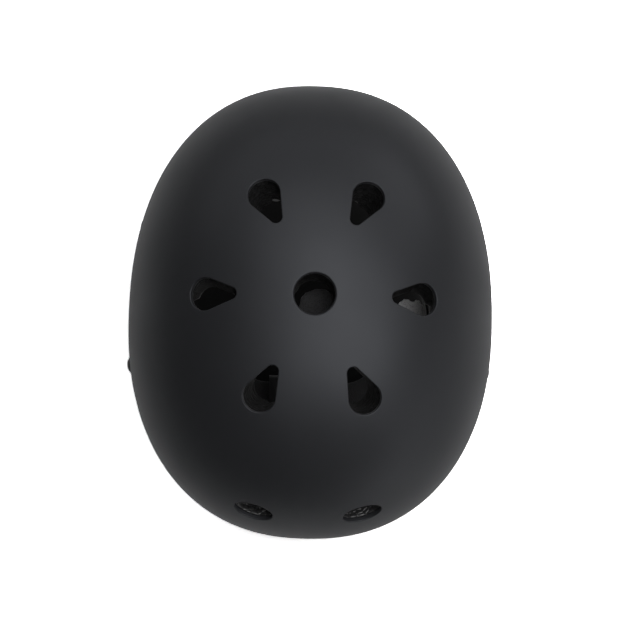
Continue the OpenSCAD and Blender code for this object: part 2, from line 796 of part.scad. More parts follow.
module divider() {
    color([0.07, 0.07, 0.075])
        on_divider()
            difference() {
                translate([-divider_in, 0, 0])
                    rotate([90, 0, 90])
                        linear_extrude(divider_in + divider_out)
                            polygon(divider_outline());
                // Slots for the two upper straps and the chin strap
                for (way = [-1, 1])
                    divider_slot(way == -1 ? front_path : rear_path);
                translate([-web_slot / 2, -web_w / 2 - side_gap, -divider_h / 2 - over])
                    cube([web_slot, web_w + 2 * side_gap, over + web_grip + side_gap]);
                // Recess for the flap, its finger notch and its pin holes
                translate([flap_floor, -flap_w / 2 - recess_side, flap_low - flap_t / 2 - recess_side])
                    cube([over, flap_w + 2 * recess_side, flap_h + flap_t / 2 + 2 * recess_side]);
                translate([flap_floor, 0, flap_low + flap_h + 1])
                    rotate([0, 90, 0])
                        cylinder(h = over, r = notch_r, $fn = 32);
                translate([flap_axis_x, 0, flap_low])
                    rotate([90, 0, 0])
                        cylinder(h = flap_w + 2 * flap_pin_len + 2 * recess_side,
                            d = flap_pin_d + 2 * pin_gap, center = true, $fn = 32);
            }
}

// Cuts the slot that an upper strap's end needs, worked out in the divider's own frame
module divider_slot(path) {
    n = len(path);
    top = in_divider(path[n - 2]);
    foot = in_divider(path[n - 1]);
    way = unit(top - foot);
    lean = atan2(way.y, way.z);
    translate(foot)
        rotate([-lean, 0, 0])
            translate([-web_slot / 2, -web_w / 2 - side_gap, -side_gap])
                cube([web_slot, web_w + 2 * side_gap, web_grip + over]);
}

module divider_flap() {
    color([0.09, 0.09, 0.095])
        on_divider()
            translate([flap_axis_x, 0, flap_low]) {
                difference() {
                    translate([-flap_t / 2, -flap_w / 2, 0])
                        cube([flap_t, flap_w, flap_h - recess_side]);
                    // Grip grooves across the flap's free end
                    for (i = [0 : ribs - 1])
                        translate([flap_t / 2, 0, flap_h - rib_step * (i + 2)])
                            rotate([90, 0, 0])
                                cylinder(h = flap_w + 2, r = rib_r, center = true, $fn = 16);
                }
                rotate([90, 0, 0]) {
                    cylinder(h = flap_w, d = flap_t, center = true, $fn = 32);
                    cylinder(h = flap_w + 2 * flap_pin_len, d = flap_pin_d, center = true, $fn = 32);
                }
            }
}

// Rubber ring round the chin strap and its loose tail
keeper_len = 7;
keeper_wall = 1.5;
keeper_gap = 0.35;
keeper_below = 5;
keeper_z = -divider_h / 2 - keeper_below - keeper_len;
keeper_travel = 12;
tail_lift = web_t + keeper_gap;
module strap_keeper() {
    in_w = web_w + 2 * keeper_gap;
    in_t = web_t + tail_lift + 2 * keeper_gap;
    color([0.05, 0.05, 0.05])
        mirror([1, 0, 0])
            on_divider()
                translate([tail_lift / 2, 0, keeper_z])
                    difference() {
                        linear_extrude(keeper_len)
                            square([in_t + 2 * keeper_wall, in_w + 2 * keeper_wall], center = true);
                        translate([0, 0, -1])
                            linear_extrude(keeper_len + 2)
                                square([in_t, in_w], center = true);
                    }
}

// The strap's loose tail lies outside the left chin strap, from the socket up through the keeper,
// and bows a little away from it where nothing holds it
tail_bow = 0.9;
tail_stop = 0.9;
function web_across(p, i) = let(along = unit(p[i + 1] - p[i - 1])) unit([0, 1, 0] - along.y * along);
function tail_path() =
    let(p = left_chin_path, n = len(p))
    [for (i = [1 : n - 2])
        let(bow = i < 5 ? 0 : tail_bow * sin(180 * (i - 4) / (n - 6)))
        p[i] + cross(web_across(p, i), unit(p[i + 1] - p[i - 1])) * (tail_lift + bow)
            - (i == n - 2 ? [tail_stop, 0, 0] : [0, 0, 0])];
function tail_hints() = [for (i = [1 : len(left_chin_path) - 2]) web_across(left_chin_path, i)];

// Side-release buckle, lying across under the chin
module at_chin() {
    translate([0, -chin_front, -chin_drop])
        children();
}
socket_in_w = buckle_w - 2 * buckle_wall;
socket_in_t = buckle_t - 2 * buckle_wall;
socket_in_len = 24;
window_x = mouth_x - 14;
window_len = 11;
prong_w = 2.6;
prong_gap = 0.6;
prong_y = socket_in_w / 2 - prong_gap;
barb_x = window_x + window_len - 0.5;
barb_y = buckle_w / 2 + 0.6;
prong_tip = window_x + prong_gap;
prong_t = socket_in_t - 2 * side_gap;
guide_w = 5;
guide_len = 15;
bar_corner = 2.4;
module rounded_bar(x0, x1, w, t, r) {
    translate([x0, 0, 0])
        rotate([90, 0, 90])
            linear_extrude(x1 - x0)
                polygon([for (c = [[1, 1, 0], [-1, 1, 90], [-1, -1, 180], [1, -1, 270]], i = [0 : 4])
                    let(a = c[2] + 22.5 * i)
                    [c[0] * (w / 2 - r), c[1] * (t / 2 - r)] + r * [cos(a), sin(a)]]);
}

module buckle_socket() {
    color([0.07, 0.07, 0.075])
        at_chin()
            difference() {
                rounded_bar(socket_x, mouth_x, buckle_w, buckle_t, bar_corner);
                translate([mouth_x - socket_in_len, -socket_in_w / 2, -socket_in_t / 2])
                    cube([socket_in_len + 1, socket_in_w, socket_in_t]);
                translate([window_x, -buckle_w, -socket_in_t / 2])
                    cube([window_len, 2 * buckle_w, socket_in_t]);
                translate([socket_x - over, -web_w / 2 - side_gap, -web_slot / 2])
                    cube([over + web_grip + side_gap, web_w + 2 * side_gap, web_slot]);
            }
}

module buckle_plug() {
    base_w = buckle_w - 1;
    color([0.07, 0.07, 0.075])
        at_chin() {
            difference() {
                rounded_bar(plug_x, plug_end, base_w, buckle_t, bar_corner);
                translate([plug_end - web_grip - side_gap, -web_w / 2 - side_gap, -web_slot / 2])
                    cube([web_grip + over, web_w + 2 * side_gap, web_slot]);
            }
            translate([plug_x - guide_len, -guide_w / 2, -prong_t / 2])
                cube([guide_len + 1, guide_w, prong_t]);
        }
}

// The two sprung prongs, whose barbs sit in the socket's windows
module buckle_prongs() {
    color([0.07, 0.07, 0.075])
        at_chin()
            for (way = [-1, 1])
                mirror([0, way == -1 ? 1 : 0, 0])
                    translate([0, 0, -prong_t / 2])
                        linear_extrude(prong_t)
                            polygon([
                                [plug_x, prong_y], [barb_x, prong_y], [barb_x, barb_y],
                                [prong_tip + 2.4, barb_y - 0.8], [prong_tip, prong_y - 0.4],
                                [prong_tip, prong_y - 1.8], [prong_tip + 4.4, prong_y - prong_w - 0.2],
                                [plug_x, prong_y - prong_w]]);
}

// Rear fit dial
module fit_band() {
    difference() {
        web(band_path, band_h, band_t, [0, 0, 1]);
        translate([anchor_x - over, anchor_y, -anchor_drop])
            rotate([0, 90, 0])
                cylinder(h = 2 * over, d = anchor_hole_d + 2 * fit_gap, $fn = 32);
    }
}

module band_anchors() {
    color([0.09, 0.09, 0.095])
        both_sides()
            translate([anchor_x - band_t / 2 - skin_gap - anchor_flange_t, anchor_y, -anchor_drop])
                rotate([0, 90, 0]) {
                    cylinder(h = anchor_flange_t, d = anchor_flange_d, $fn = 32);
                    cylinder(h = anchor_len, d = anchor_hole_d, $fn = 32);
                }
}

// Plan of the slot that a band's end needs in the housing
band_slack = 0.5;
function band_slot() =
    let(
        n = len(band_path) - 1,
        keep = [for (i = [0 : n]) if (band_path[i].x < housing_w / 2 + over / 2) i],
        side = function(way) [for (i = keep)
            let(
                along = unit(band_path[min(i + 1, n)] - band_path[i - 1]),
                tip = i == n ? band_slack : 0
            )
            [band_path[i].x - tip, band_path[i].y] + way * (band_t / 2 + band_slack) * [-along.y, along.x]],
        back = side(-1)
    )
    concat(side(1), [for (i = [len(back) - 1 : -1 : 0]) back[i]]);

shaft_d = 6;
shaft_len = 7;
housing_corner = 8;
head_round = 95;
housing_hollow = 3;
head_mid_y = housing_y - housing_t + housing_hollow - head_round;
module dial_housing() {
    color([0.08, 0.08, 0.085])
        difference() {
            translate([0, housing_y, -housing_drop])
                rotate([90, 0, 0])
                    linear_extrude(housing_t)
                        polygon([for (c = [[1, 1, 0], [-1, 1, 90], [-1, -1, 180], [1, -1, 270]], i = [0 : 5])
                            [c[0] * (housing_w / 2 - housing_corner), c[1] * (housing_h / 2 - housing_corner)]
                                + housing_corner * [cos(c[2] + 18 * i), sin(c[2] + 18 * i)]]);
            translate([0, head_mid_y, -housing_drop - housing_h])
                cylinder(h = 2 * housing_h, r = head_round, $fn = 96);
            translate([0, housing_y + 1, -housing_drop])
                rotate([90, 0, 0])
                    cylinder(h = shaft_len + 1 + side_gap, d = shaft_d + 2 * pin_gap, $fn = 48);
            both_sides()
                translate([0, 0, -housing_drop - band_h / 2 - side_gap])
                    linear_extrude(band_h + 2 * side_gap)
                        polygon(band_slot());
        }
}

// The pad that the dial's housing carries towards the nape
nape_pad_half_turn = 14;
nape_pad_h = 26;
nape_pad_t = 5;
module nape_pad() {
    cushion(
        function(u, v, rise)
            let(r = head_round - skin_gap - rise, a = u * nape_pad_half_turn)
            [-r * sin(a), head_mid_y + r * cos(a), v * nape_pad_h / 2 - housing_drop],
        nape_pad_t);
}

grips = 14;
grip_r = 2.2;
grip_out = 0.9;
knob_chamfer = 1.5;
module dial_knob() {
    color([0.1, 0.1, 0.105])
        translate([0, housing_y, -housing_drop])
            rotate([-90, 0, 0])
                difference() {
                    union() {
                        translate([0, 0, skin_gap])
                            cylinder(h = knob_h - knob_chamfer, d = knob_d, $fn = 64);
                        translate([0, 0, skin_gap + knob_h - knob_chamfer])
                            cylinder(h = knob_chamfer, d1 = knob_d, d2 = knob_d - 2 * knob_chamfer, $fn = 64);
                        translate([0, 0, -shaft_len])
                            cylinder(h = shaft_len + 1, d = shaft_d, $fn = 48);
                    }
                    for (i = [0 : grips - 1])
                        rotate(360 * i / grips)
                            translate([knob_d / 2 + grip_out, 0, -1])
                                cylinder(h = knob_h + 3, r = grip_r, $fn = 24);
                }
}

shell();
eps_liner();
foam_pad(front_pad_c);  // front_pad
crown_pad();
mirror([1, 0, 0]) foam_pad(side_pad_c);  // left_side_pad
foam_pad(side_pad_c);  // right_side_pad
foam_pad(rear_pad_c);  // rear_pad
mirror([1, 0, 0])  // left_temple_pad
        temple_pad(temple_turn + temple_shift_turn);
temple_pad(temple_turn);  // right_temple_pad
pad_hooks();
strap_rivets();
rivet_washers();
mirror([1, 0, 0]) upper_strap(front_path, rivet_places[0]);  // left_front_strap
upper_strap(front_path, rivet_places[0]);  // right_front_strap
mirror([1, 0, 0]) upper_strap(rear_path, rivet_places[1]);  // left_rear_strap
upper_strap(rear_path, rivet_places[1]);  // right_rear_strap
web(left_chin_path);  // left_chin_strap
web(right_chin_path);  // right_chin_strap
web(tail_path(), hints = tail_hints());  // strap_tail
mirror([1, 0, 0]) divider();  // left_divider
divider();  // right_divider
mirror([1, 0, 0]) divider_flap();  // left_divider_flap
divider_flap();  // right_divider_flap
strap_keeper();
buckle_socket();
buckle_plug();
buckle_prongs();
mirror([1, 0, 0]) fit_band();  // left_fit_band
fit_band();  // right_fit_band
band_anchors();
dial_housing();
nape_pad();
dial_knob();
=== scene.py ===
# A hardshell skate helmet seen from above: moulded shell, bead foam liner, pads, harness and fit dial.
# Points are worked out in millimetres, in the part's own frame, and meshes are made in metres.
from math import acos, atan, atan2, cos, degrees, pi, radians, sin, tan, tau

import bmesh
import bpy
import numpy as np
from mathutils import Matrix, Vector, geometry


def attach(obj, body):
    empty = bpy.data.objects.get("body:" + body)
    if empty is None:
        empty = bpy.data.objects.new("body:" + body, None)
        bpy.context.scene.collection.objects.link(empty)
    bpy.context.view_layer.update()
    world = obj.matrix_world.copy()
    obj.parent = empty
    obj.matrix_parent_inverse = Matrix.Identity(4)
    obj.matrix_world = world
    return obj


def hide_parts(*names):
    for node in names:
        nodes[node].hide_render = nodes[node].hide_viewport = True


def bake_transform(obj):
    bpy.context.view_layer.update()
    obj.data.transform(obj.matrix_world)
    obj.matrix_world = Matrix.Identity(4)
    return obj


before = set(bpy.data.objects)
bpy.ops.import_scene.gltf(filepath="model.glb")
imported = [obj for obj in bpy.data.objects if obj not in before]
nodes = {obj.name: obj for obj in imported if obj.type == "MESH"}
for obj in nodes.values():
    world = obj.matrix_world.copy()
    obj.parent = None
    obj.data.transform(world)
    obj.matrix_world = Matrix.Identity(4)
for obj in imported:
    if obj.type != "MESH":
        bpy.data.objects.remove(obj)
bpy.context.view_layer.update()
scene = bpy.context.scene
MM = 0.001

# Camera: the photograph's distance, its tilt towards the front, its sideways tilt and its roll
CAMERA_DISTANCE = 1.1
CAMERA_TILT = 6.445
CAMERA_SIDE_TILT = 1.277
CAMERA_ROLL = 1.387
CAMERA_LENS = 102.13
SENSOR = 36.0
# How far the part's origin lies from the picture's middle, in shares of its width
SHIFT_X = -0.0005
SHIFT_Y = 0.0184

# Shell: half width, front and rear length, height, and how the plan and the rise are squared off
HALF_W = 113.0
FRONT_LEN = 135.0
REAR_LEN = 147.5
CROWN_H = 98.0
CROWN_BACK = 5.0
PLAN_POWER = 2.26
DOME_POWER = 2.15
SHELL_T = 3.0
BROW_RIM = 28.0
EAR_RIM = 60.0
TUCK_SIDE = 4.0
TUCK_FRONT = 2.5
TUCK_REAR = 7.0
RAMP_START = -93.0
RAMP_LEN = 76.0
RIM_ROUND = 1.3
# Foam: gap under the shell, thicknesses, and its lower edge's lift, slope, outer and inner round
SKIN_GAP = 0.3
FOAM_SIDE = 26.0
FOAM_FRONT = 31.0
FOAM_REAR = 33.0
FOAM_CROWN = 29.0
FOAM_LIFT = 3.0
FOAM_BEVEL = 9.0
FOAM_OUTER_ROUND = 2.0
FOAM_INNER_ROUND = 4.0
# Vents. The teardrops lie round the crown vent in TEAR_WAYS. An oval is placed by its x and its height.
CROWN_VENT_D = 23.8
CROWN_LIP = 1.2
VENT_LIP = 0.6
TEAR_BLUNT_R = 9.6
TEAR_TAIL_R = 3.6
TEAR_SPAN = 16.5
TEAR_REACH = 58.3
TEAR_SIDE_REACH = 56.0
TEAR_TURN = 62.5
TEAR_WAYS = (0, TEAR_TURN, 180 - TEAR_TURN, 180, 180 + TEAR_TURN, 360 - TEAR_TURN)
OVAL_LEN = 23.8
OVAL_H = 15.0
OVAL_FRONT = (32.5, 42.0)
OVAL_REAR = (34.0, 10.0)
# Channels in the foam. The side ones lean outwards, towards the vertical.
CHANNEL_INSET = -0.3
CHANNEL_DRAFT = 0.003
CHANNEL_LIP = 0.5
SIDE_LEAN = 0.4
# Rings of vertices beyond an opening's edge, and how far beyond them the grid starts
OUTER_RINGS = (4.0, 2.4, 1.2)
INNER_RINGS = (0.5, 2.5)
RING_MARGIN = 1.2
# Air grooves inside the foam: section, and start and ends as heights for turn_and_q
GROOVE_W = 11.0
GROOVE_DEEP = 5.0
GROOVE_SPREAD = 0.6
GROOVE_EDGE = 3.0
GROOVE_TOP = 0.955
GROOVE_SIDE_END = 0.36
GROOVE_REAR_END = 0.14
GROOVE_FRONT_END = 0.26
# Recesses for the hook discs, each at a direction and a height for turn_and_q
HOOK_SPOTS = [(a, 0.03) for a in (250, 290, -12, 12, 168, 192, 75, 105)] + [
    (-26, 0.485), (215.5, 0.485), (270, 0.677), (270, 0.859)]
HOOK_RECESS = 1.75
HOOK_RECESS_R = 9.4
# Rivets, as radii and heights. Their seats' walls have a growth, a depth and a lean of the normal.
RIVET_YS = (-28.0, 62.0)
RIVET_DROP = 22.0
RIVET_PROFILE = (
    (1.2, 4.02), (2.4, 3.8), (3.5, 3.38), (4.5, 2.7), (5.3, 1.85), (5.8, 0.95), (6.0, 0.1), (5.95, -0.3),
    (5.6, -0.57), (2.4, -0.57), (2.4, -6.65), (3.7, -6.65), (4.0, -6.9), (3.9, -7.4), (3.2, -7.85),
    (1.6, -8.05))
SEAT_R = 6.3
SEAT_DEPTH = 0.6
SEAT_RINGS = (2.2, 1.0, 0.35)
SEAT_MARGIN = 1.4
SEAT_WALL = ((0.1, 0.06, 0.7), (0.0, 0.3, 1.5), (-0.3, SEAT_DEPTH, 0.5), (-2.0, SEAT_DEPTH, 0))
# Straps. A pocket in the foam takes the webbing, the washer and the rivet's tail, with room round them.
WEB_W = 16.0
WEB_T = 1.6
WEB_DEPTH = SHELL_T + 0.85 + WEB_T / 2
WEB_GRIP = 8.0
POCKET_DEPTH = WEB_DEPTH + WEB_T / 2 + 0.2 + 1 + 1.4 + 1
POCKET_BOX = ((-13, EAR_RIM + 11), (-10.5, 10.5), (-POCKET_DEPTH, 12))
DIVIDER_P = np.array([86.0, 6.0, -102.0])
DIVIDER_H = 34.0
DIVIDER_SWING = radians(14)
SLOT_Y = 10.5
CHIN_P = np.array([0, -34.0, -160.0])
CHIN_PULLS = (22, 26)
SOCKET_X = -24.75
PLUG_END = 26.55
KEEPER_RUN = 30.0
TAIL_GAP = 0.35
TAIL_BOW = 0.9
TAIL_SHORT = 0.9
# Anchors of the fit bands
ANCHOR_X = 77.7
ANCHOR_Y = -4.0
ANCHOR_DROP = 44.0
ANCHOR_BOX = ((-14, 14), (-2.7, 2.7), (-2.7, 2.7))
# Pads: mesh, longest move as cloth in metres, gap behind, seam, sewn channels, and the nape pad's seat
PAD_MESH = 2.6
PAD_CAP = 0.0022
PAD_GAP = 0.7
CLOTH_FRAMES = 20
SEAM_RISE = 1.9
SEAM_DRAW = 0.75
SEAM_W = 0.75
SEWN_RISE = 1.6
SEWN_DRAW = 1.7
SEWN_W = 1.5
HOUSING_R = 95
NAPE_GAP = 0.3

OUTSIDE = np.zeros(4)
IN_SHELL = OUTSIDE + SHELL_T
FOAM_OUT = IN_SHELL + SKIN_GAP
FOAM_IN = FOAM_OUT + np.array([FOAM_SIDE, FOAM_FRONT, FOAM_REAR, FOAM_CROWN])
NUDGE = 1e-4
FLAT_RIM = 0.35
SLIVER = 1e-7
MIRROR = np.array([-1.0, 1, 1])


def unit(v):
    return v / np.linalg.norm(v, axis=-1, keepdims=True)


def ease(t):
    u = np.clip(t, 0, 1)
    return u * u * (3 - 2 * u)


def rim_depth(y):
    return BROW_RIM + (EAR_RIM - BROW_RIM) * ease((y - RAMP_START) / RAMP_LEN)


def skin(s, turn, q, lift=0.0):
    """Points of the dome inset by s. turn is a plan direction, and q runs from 0 at the crown by 1 at the
    widest level to 2 at the rim."""
    c, d = np.cos(turn), np.sin(turn)
    k = (np.abs(c) ** PLAN_POWER + np.abs(d) ** PLAN_POWER) ** (-1 / PLAN_POWER)
    px, py = k * c, k * d
    phi = (1 - np.clip(q, 0, 1)) * pi / 2
    k = (np.cos(phi) ** DOME_POWER + np.abs(np.sin(phi)) ** DOME_POWER) ** (-1 / DOME_POWER)
    low = np.clip(q - 1, 0, None)
    tuck = TUCK_SIDE / HALF_W * np.abs(px) ** PLAN_POWER + np.where(
        py < 0, TUCK_FRONT / FRONT_LEN, TUCK_REAR / REAR_LEN) * np.abs(py) ** PLAN_POWER
    rho, rise = k * np.cos(phi) * (1 - tuck * low * low), k * np.sin(phi)
    depth = rim_depth(np.where(py < 0, FRONT_LEN, REAR_LEN) * py) - lift
    return np.stack([
        (HALF_W - s[..., 0]) * rho * px,
        np.where(py < 0, FRONT_LEN - s[..., 1], REAR_LEN - s[..., 2]) * rho * py + CROWN_BACK * rise ** 2,
        (CROWN_H - s[..., 3]) * rise - low * depth], -1)


def skin_slopes(s, turn, q, lift=0.0):
    """How a skin's points move with turn and with q."""
    return (
        (skin(s, turn + NUDGE, q, lift) - skin(s, turn - NUDGE, q, lift)) / (2 * NUDGE),
        (skin(s, turn, q + NUDGE, lift) - skin(s, turn, q - NUDGE, lift)) / (2 * NUDGE))


def skin_normal(s, turn, q, lift=0.0):
    """Outward normals. Either side of the widest level is taken on its own."""
    q = np.where(np.abs(q - 1) < 2 * NUDGE, 1 - 2 * NUDGE, q)
    across, down = skin_slopes(s, turn, q, lift)
    return unit(np.cross(down, across))


def first_guess(p):
    """Plan direction and q near which a point lies."""
    rise = np.clip(p[:, 2] / CROWN_H, 0, 1)
    u = p[:, 0] / HALF_W
    y = p[:, 1] - CROWN_BACK * rise ** 2
    v = y / np.where(y < 0, FRONT_LEN, REAR_LEN)
    turn = np.arctan2(v, u)
    rho = (np.abs(u) ** PLAN_POWER + np.abs(v) ** PLAN_POWER) ** (1 / PLAN_POWER)
    q = 1 - np.arctan2(rise, rho) / (pi / 2)
    return turn, np.where(p[:, 2] > 0, q, 1 - p[:, 2] / rim_depth(p[:, 1]))


def meet(s, base, ways, lift=0.0):
    """Where lines through base along ways meet a skin: plan directions and q."""
    turn, q = first_guess(base)
    t = np.zeros(len(base))
    for _ in range(14):
        across, down = skin_slopes(s, turn, q, lift)
        gap = skin(s, turn, q, lift) - (base + t[:, None] * ways)
        step = np.linalg.solve(np.stack([across, down, -ways], -1), -gap[..., None])[..., 0]
        turn = turn + np.clip(step[:, 0], -0.3, 0.3)
        q = np.clip(q + np.clip(step[:, 1], -0.1, 0.1), 1e-3, 1.999)
        t = t + step[:, 2]
    return turn, q


def halve(low, high, beyond):
    """The value from which beyond is true."""
    for _ in range(40):
        middle = (low + high) / 2
        low, high = (low, middle) if beyond(middle) else (middle, high)
    return middle


def level(x, y, z):
    """1 on the shell's outside above its widest level, and less inside it."""
    rise = z / CROWN_H
    back = y - CROWN_BACK * rise * rise
    length = FRONT_LEN if back < 0 else REAR_LEN
    plan = abs(x / HALF_W) ** PLAN_POWER + abs(back / length) ** PLAN_POWER
    return plan ** (DOME_POWER / PLAN_POWER) + rise ** DOME_POWER


def outside_z(x, y):
    """Height of the shell's outside over a point in plan."""
    return halve(0.0, CROWN_H, lambda z: level(x, y, z) > 1)


def outside_y(x, z, way):
    """Where the shell's outside lies to the front (way -1) or to the rear, at an x and a height."""
    beyond_rear = 160.0
    return way * halve(0.0, beyond_rear, lambda y: level(x, way * y, z) > 1)


def outside_normal(p):
    d = 0.01
    x, y, z = p
    return unit(np.array([
        level(x + d, y, z) - level(x - d, y, z),
        level(x, y + d, z) - level(x, y - d, z),
        level(x, y, z + d) - level(x, y, z - d)]))


def turned(axis, a):
    """A turn by a about X, Y or Z (0, 1 or 2), as a matrix."""
    c, d = cos(a), sin(a)
    return np.roll([[c, -d, 0], [d, c, 0], [0, 0, 1]], axis + 1, (0, 1))


def standing(p, heading):
    """Axes, as columns, of a cutter that stands on the shell at p with its X along the plan heading."""
    n = outside_normal(p)
    lean, way = acos(n[2]), atan2(n[1], n[0])
    turn = heading - way
    return turned(2, way) @ turned(1, lean) @ turned(2, atan2(sin(turn), cos(turn) / cos(lean)))


def around(count):
    """Directions evenly spaced round a full turn."""
    return np.linspace(0, 2 * pi, count + 1)[:-1]


def tear_outline(g):
    """A teardrop grown by g, with its blunt end towards X."""
    r1, r2 = TEAR_BLUNT_R + g, TEAR_TAIL_R + g
    opening = acos((r1 - r2) / TEAR_SPAN)
    half = pi - opening
    blunt = np.array([(TEAR_SPAN / 2 + r1 * cos(a), r1 * sin(a))
                      for a in np.linspace(-half, half, 41)])
    tail = np.array([(-TEAR_SPAN / 2 - r2 * cos(a), -r2 * sin(a))
                     for a in np.linspace(-opening, opening, 17)])
    t = np.linspace(0, 1, 11)[1:-1, None]
    up, down = blunt[-1] * (1 - t) + tail[0] * t, tail[-1] * (1 - t) + blunt[0] * t
    return np.concatenate([blunt, up, tail, down])


def ellipse_outline(length, height, count):
    a = around(count)
    return lambda g: np.stack([(length / 2 + g) * np.cos(a), (height / 2 + g) * np.sin(a)], -1)


def vent_list():
    """Whether each vent lies at the side, and its middle, axes, outline and lip radius."""
    oval = ellipse_outline(OVAL_LEN, OVAL_H, 72)
    found = [(False, np.array([0, CROWN_BACK, CROWN_H]), np.eye(3),
              ellipse_outline(CROWN_VENT_D, CROWN_VENT_D, 96), CROWN_LIP)]
    for a in TEAR_WAYS:
        at_side = a % 180 == 0
        reach = TEAR_SIDE_REACH if at_side else TEAR_REACH
        x, y = reach * cos(radians(a)), CROWN_BACK + reach * sin(radians(a))
        p = np.array([x, y, outside_z(x, y)])
        found.append((at_side, p, standing(p, radians(a)), tear_outline, VENT_LIP))
    for side in (-1, 1):
        for (x, z), way in ((OVAL_FRONT, -1), (OVAL_REAR, 1)):
            p = np.array([side * x, outside_y(side * x, z, way), z])
            n = outside_normal(p)
            heading = atan2(n[1], n[0]) + pi / 2
            found.append((False, p, standing(p, heading), oval, VENT_LIP))
    return found


def flat(turn, q):
    """The plane in which a skin is laid out for filling round its openings."""
    r = np.where(q < 1, q, 1 + (q - 1) * FLAT_RIM)
    return np.stack([r * np.cos(turn), r * np.sin(turn)], -1)


def inside(points, ring):
    """Which points lie inside a closed ring, by crossings."""
    x, y = points[:, 0, None], points[:, 1, None]
    x1, y1 = ring[:, 0], ring[:, 1]
    x2, y2 = np.roll(x1, -1), np.roll(y1, -1)
    cross = ((y1 > y) != (y2 > y)) & (x < (x2 - x1) * (y - y1) / np.where(y2 == y1, 1e-12, y2 - y1) + x1)
    return cross.sum(1) % 2 == 1


def add_object(name, data):
    ob = bpy.data.objects.new(name, data)
    scene.collection.objects.link(ob)
    return ob


def turn_faces_out(me):
    bm = bmesh.new()
    bm.from_mesh(me)
    bmesh.ops.recalc_face_normals(bm, faces=bm.faces)
    bm.to_mesh(me)
    bm.free()


def shade_smooth(me):
    me.polygons.foreach_set("use_smooth", [True] * len(me.polygons))


def read(items, what):
    """One vector of each item."""
    out = np.zeros(len(items) * 3, np.float32)
    items.foreach_get(what, out)
    return out.reshape(-1, 3)


def move_to(me, points):
    me.vertices.foreach_set("co", points.astype(np.float32).ravel())


class Builder:
    """Vertices and faces of one mesh, with the normals that some vertices are given."""

    def __init__(self):
        self.points, self.normals, self.faces, self.count = [], [], [], 0

    def add(self, points, normals=None):
        """Adds vertices and gives their numbers."""
        points = np.asarray(points, float).reshape(-1, 3)
        first = self.count
        self.points.append(points)
        self.normals.append(points * 0 if normals is None else np.asarray(normals).reshape(-1, 3))
        self.count += len(points)
        return np.arange(first, self.count)

    def add_faces(self, *faces):
        self.faces += [tuple(map(int, f)) for f in faces]

    def strips(self, rings):
        """Quads between each closed ring of vertices and the next."""
        for a, b in zip(rings, rings[1:]):
            self.add_faces(*zip(a, np.roll(a, -1), np.roll(b, -1), b))

    def mesh(self, name, turn_out=True):
        """An object with the mesh."""
        me = bpy.data.meshes.new(name)
        me.from_pydata((np.concatenate(self.points) * MM).tolist(), [], self.faces)
        if turn_out:
            turn_faces_out(me)
        shade_smooth(me)
        me.update()
        given = np.concatenate(self.normals)
        if np.any(given):
            own = read(me.vertex_normals, "vector")
            known = np.abs(given).sum(1) > 0
            own[known] = given[known]
            me.normals_split_custom_set_from_vertices(own.tolist())
        return add_object(name, me)


def holed_skin(b, s, openings, columns, rows, sign=1, lift=0.0):
    """Adds a skin as a polar grid of quads, filled in up to each opening. openings holds the vertices of each
    ring, their places in the flat plane, and a wider ring whose inside the grid leaves free."""
    t, q = (v.ravel() for v in np.meshgrid(around(columns), rows))
    places = flat(t, q)
    index = b.add(skin(s, t, q, lift), sign * skin_normal(s, t, q, lift)).reshape(len(rows), columns)
    owner = np.full(len(places), -1)
    for k, (_, _, wide) in enumerate(openings):
        owner[inside(places, wide)] = k
    owner = owner.reshape(index.shape)
    cut = np.full((len(rows) - 1, columns), -1)
    for r in range(len(rows) - 1):
        for c in range(columns):
            d = (c + 1) % columns
            cut[r, c] = max(owner[r, c], owner[r, d], owner[r + 1, c], owner[r + 1, d])
            if cut[r, c] < 0:
                b.add_faces((index[r, c], index[r, d], index[r + 1, d], index[r + 1, c]))
    for k, (ring, ring_flat, _) in enumerate(openings):
        cells = {(r, c) for r, c in zip(*np.nonzero(cut == k))}
        fill_round(b, index, places, rows, cells, ring, ring_flat)
    return index


def fill_round(b, index, places, rows, cells, ring, ring_flat):
    """Fills the cells that a grid leaves free round an opening with triangles, up to its ring."""
    columns = index.shape[1]
    names = [int(i) for i in ring]
    spots = [Vector(p) for p in ring_flat]
    links = [(i, (i + 1) % len(names)) for i in range(len(names))]
    on_ring, used = set(names), {}
    for r, c in cells:
        d = (c + 1) % columns
        for other, edge in (
                ((r - 1, c), (index[r, c], index[r, d])),
                ((r + 1, c), (index[r + 1, c], index[r + 1, d])),
                ((r, (c - 1) % columns), (index[r, c], index[r + 1, c])),
                ((r, d), (index[r, d], index[r + 1, d]))):
            if other in cells or not 0 <= other[0] < len(rows) - 1:
                continue
            for i in edge:
                if i not in used:
                    used[i] = len(names)
                    names.append(int(i))
                    spots.append(Vector(places[i - index[0, 0]]))
            links.append((used[edge[0]], used[edge[1]]))
    out, _, faces, orig, _, _ = geometry.delaunay_2d_cdt(spots, links, [], 0, 1e-9)
    middles = np.array([np.mean([out[i] for i in f], axis=0) for f in faces])
    turn = np.mod(np.arctan2(middles[:, 1], middles[:, 0]), 2 * pi)
    r_flat = np.hypot(middles[:, 0], middles[:, 1])
    q_mid = np.where(r_flat < 1, r_flat, 1 + (r_flat - 1) / FLAT_RIM)
    row = np.searchsorted(rows, q_mid) - 1
    col = np.floor(turn / (2 * pi) * columns).astype(int) % columns
    for f, r, c, hole in zip(faces, row, col, inside(middles, np.asarray(ring_flat))):
        sliver = abs((out[f[1]] - out[f[0]]).cross(out[f[2]] - out[f[0]])) < SLIVER
        ids = [names[orig[i][0]] for i in f]
        # A chord of the grid lies a little inside its arc, so beside the cells a corner on the ring decides
        beside = any((r + dr, c) in cells for dr in (-1, 1)) and any(i in on_ring for i in ids)
        if ((r, c) in cells or beside) and not sliver and not hole:
            b.add_faces(ids)


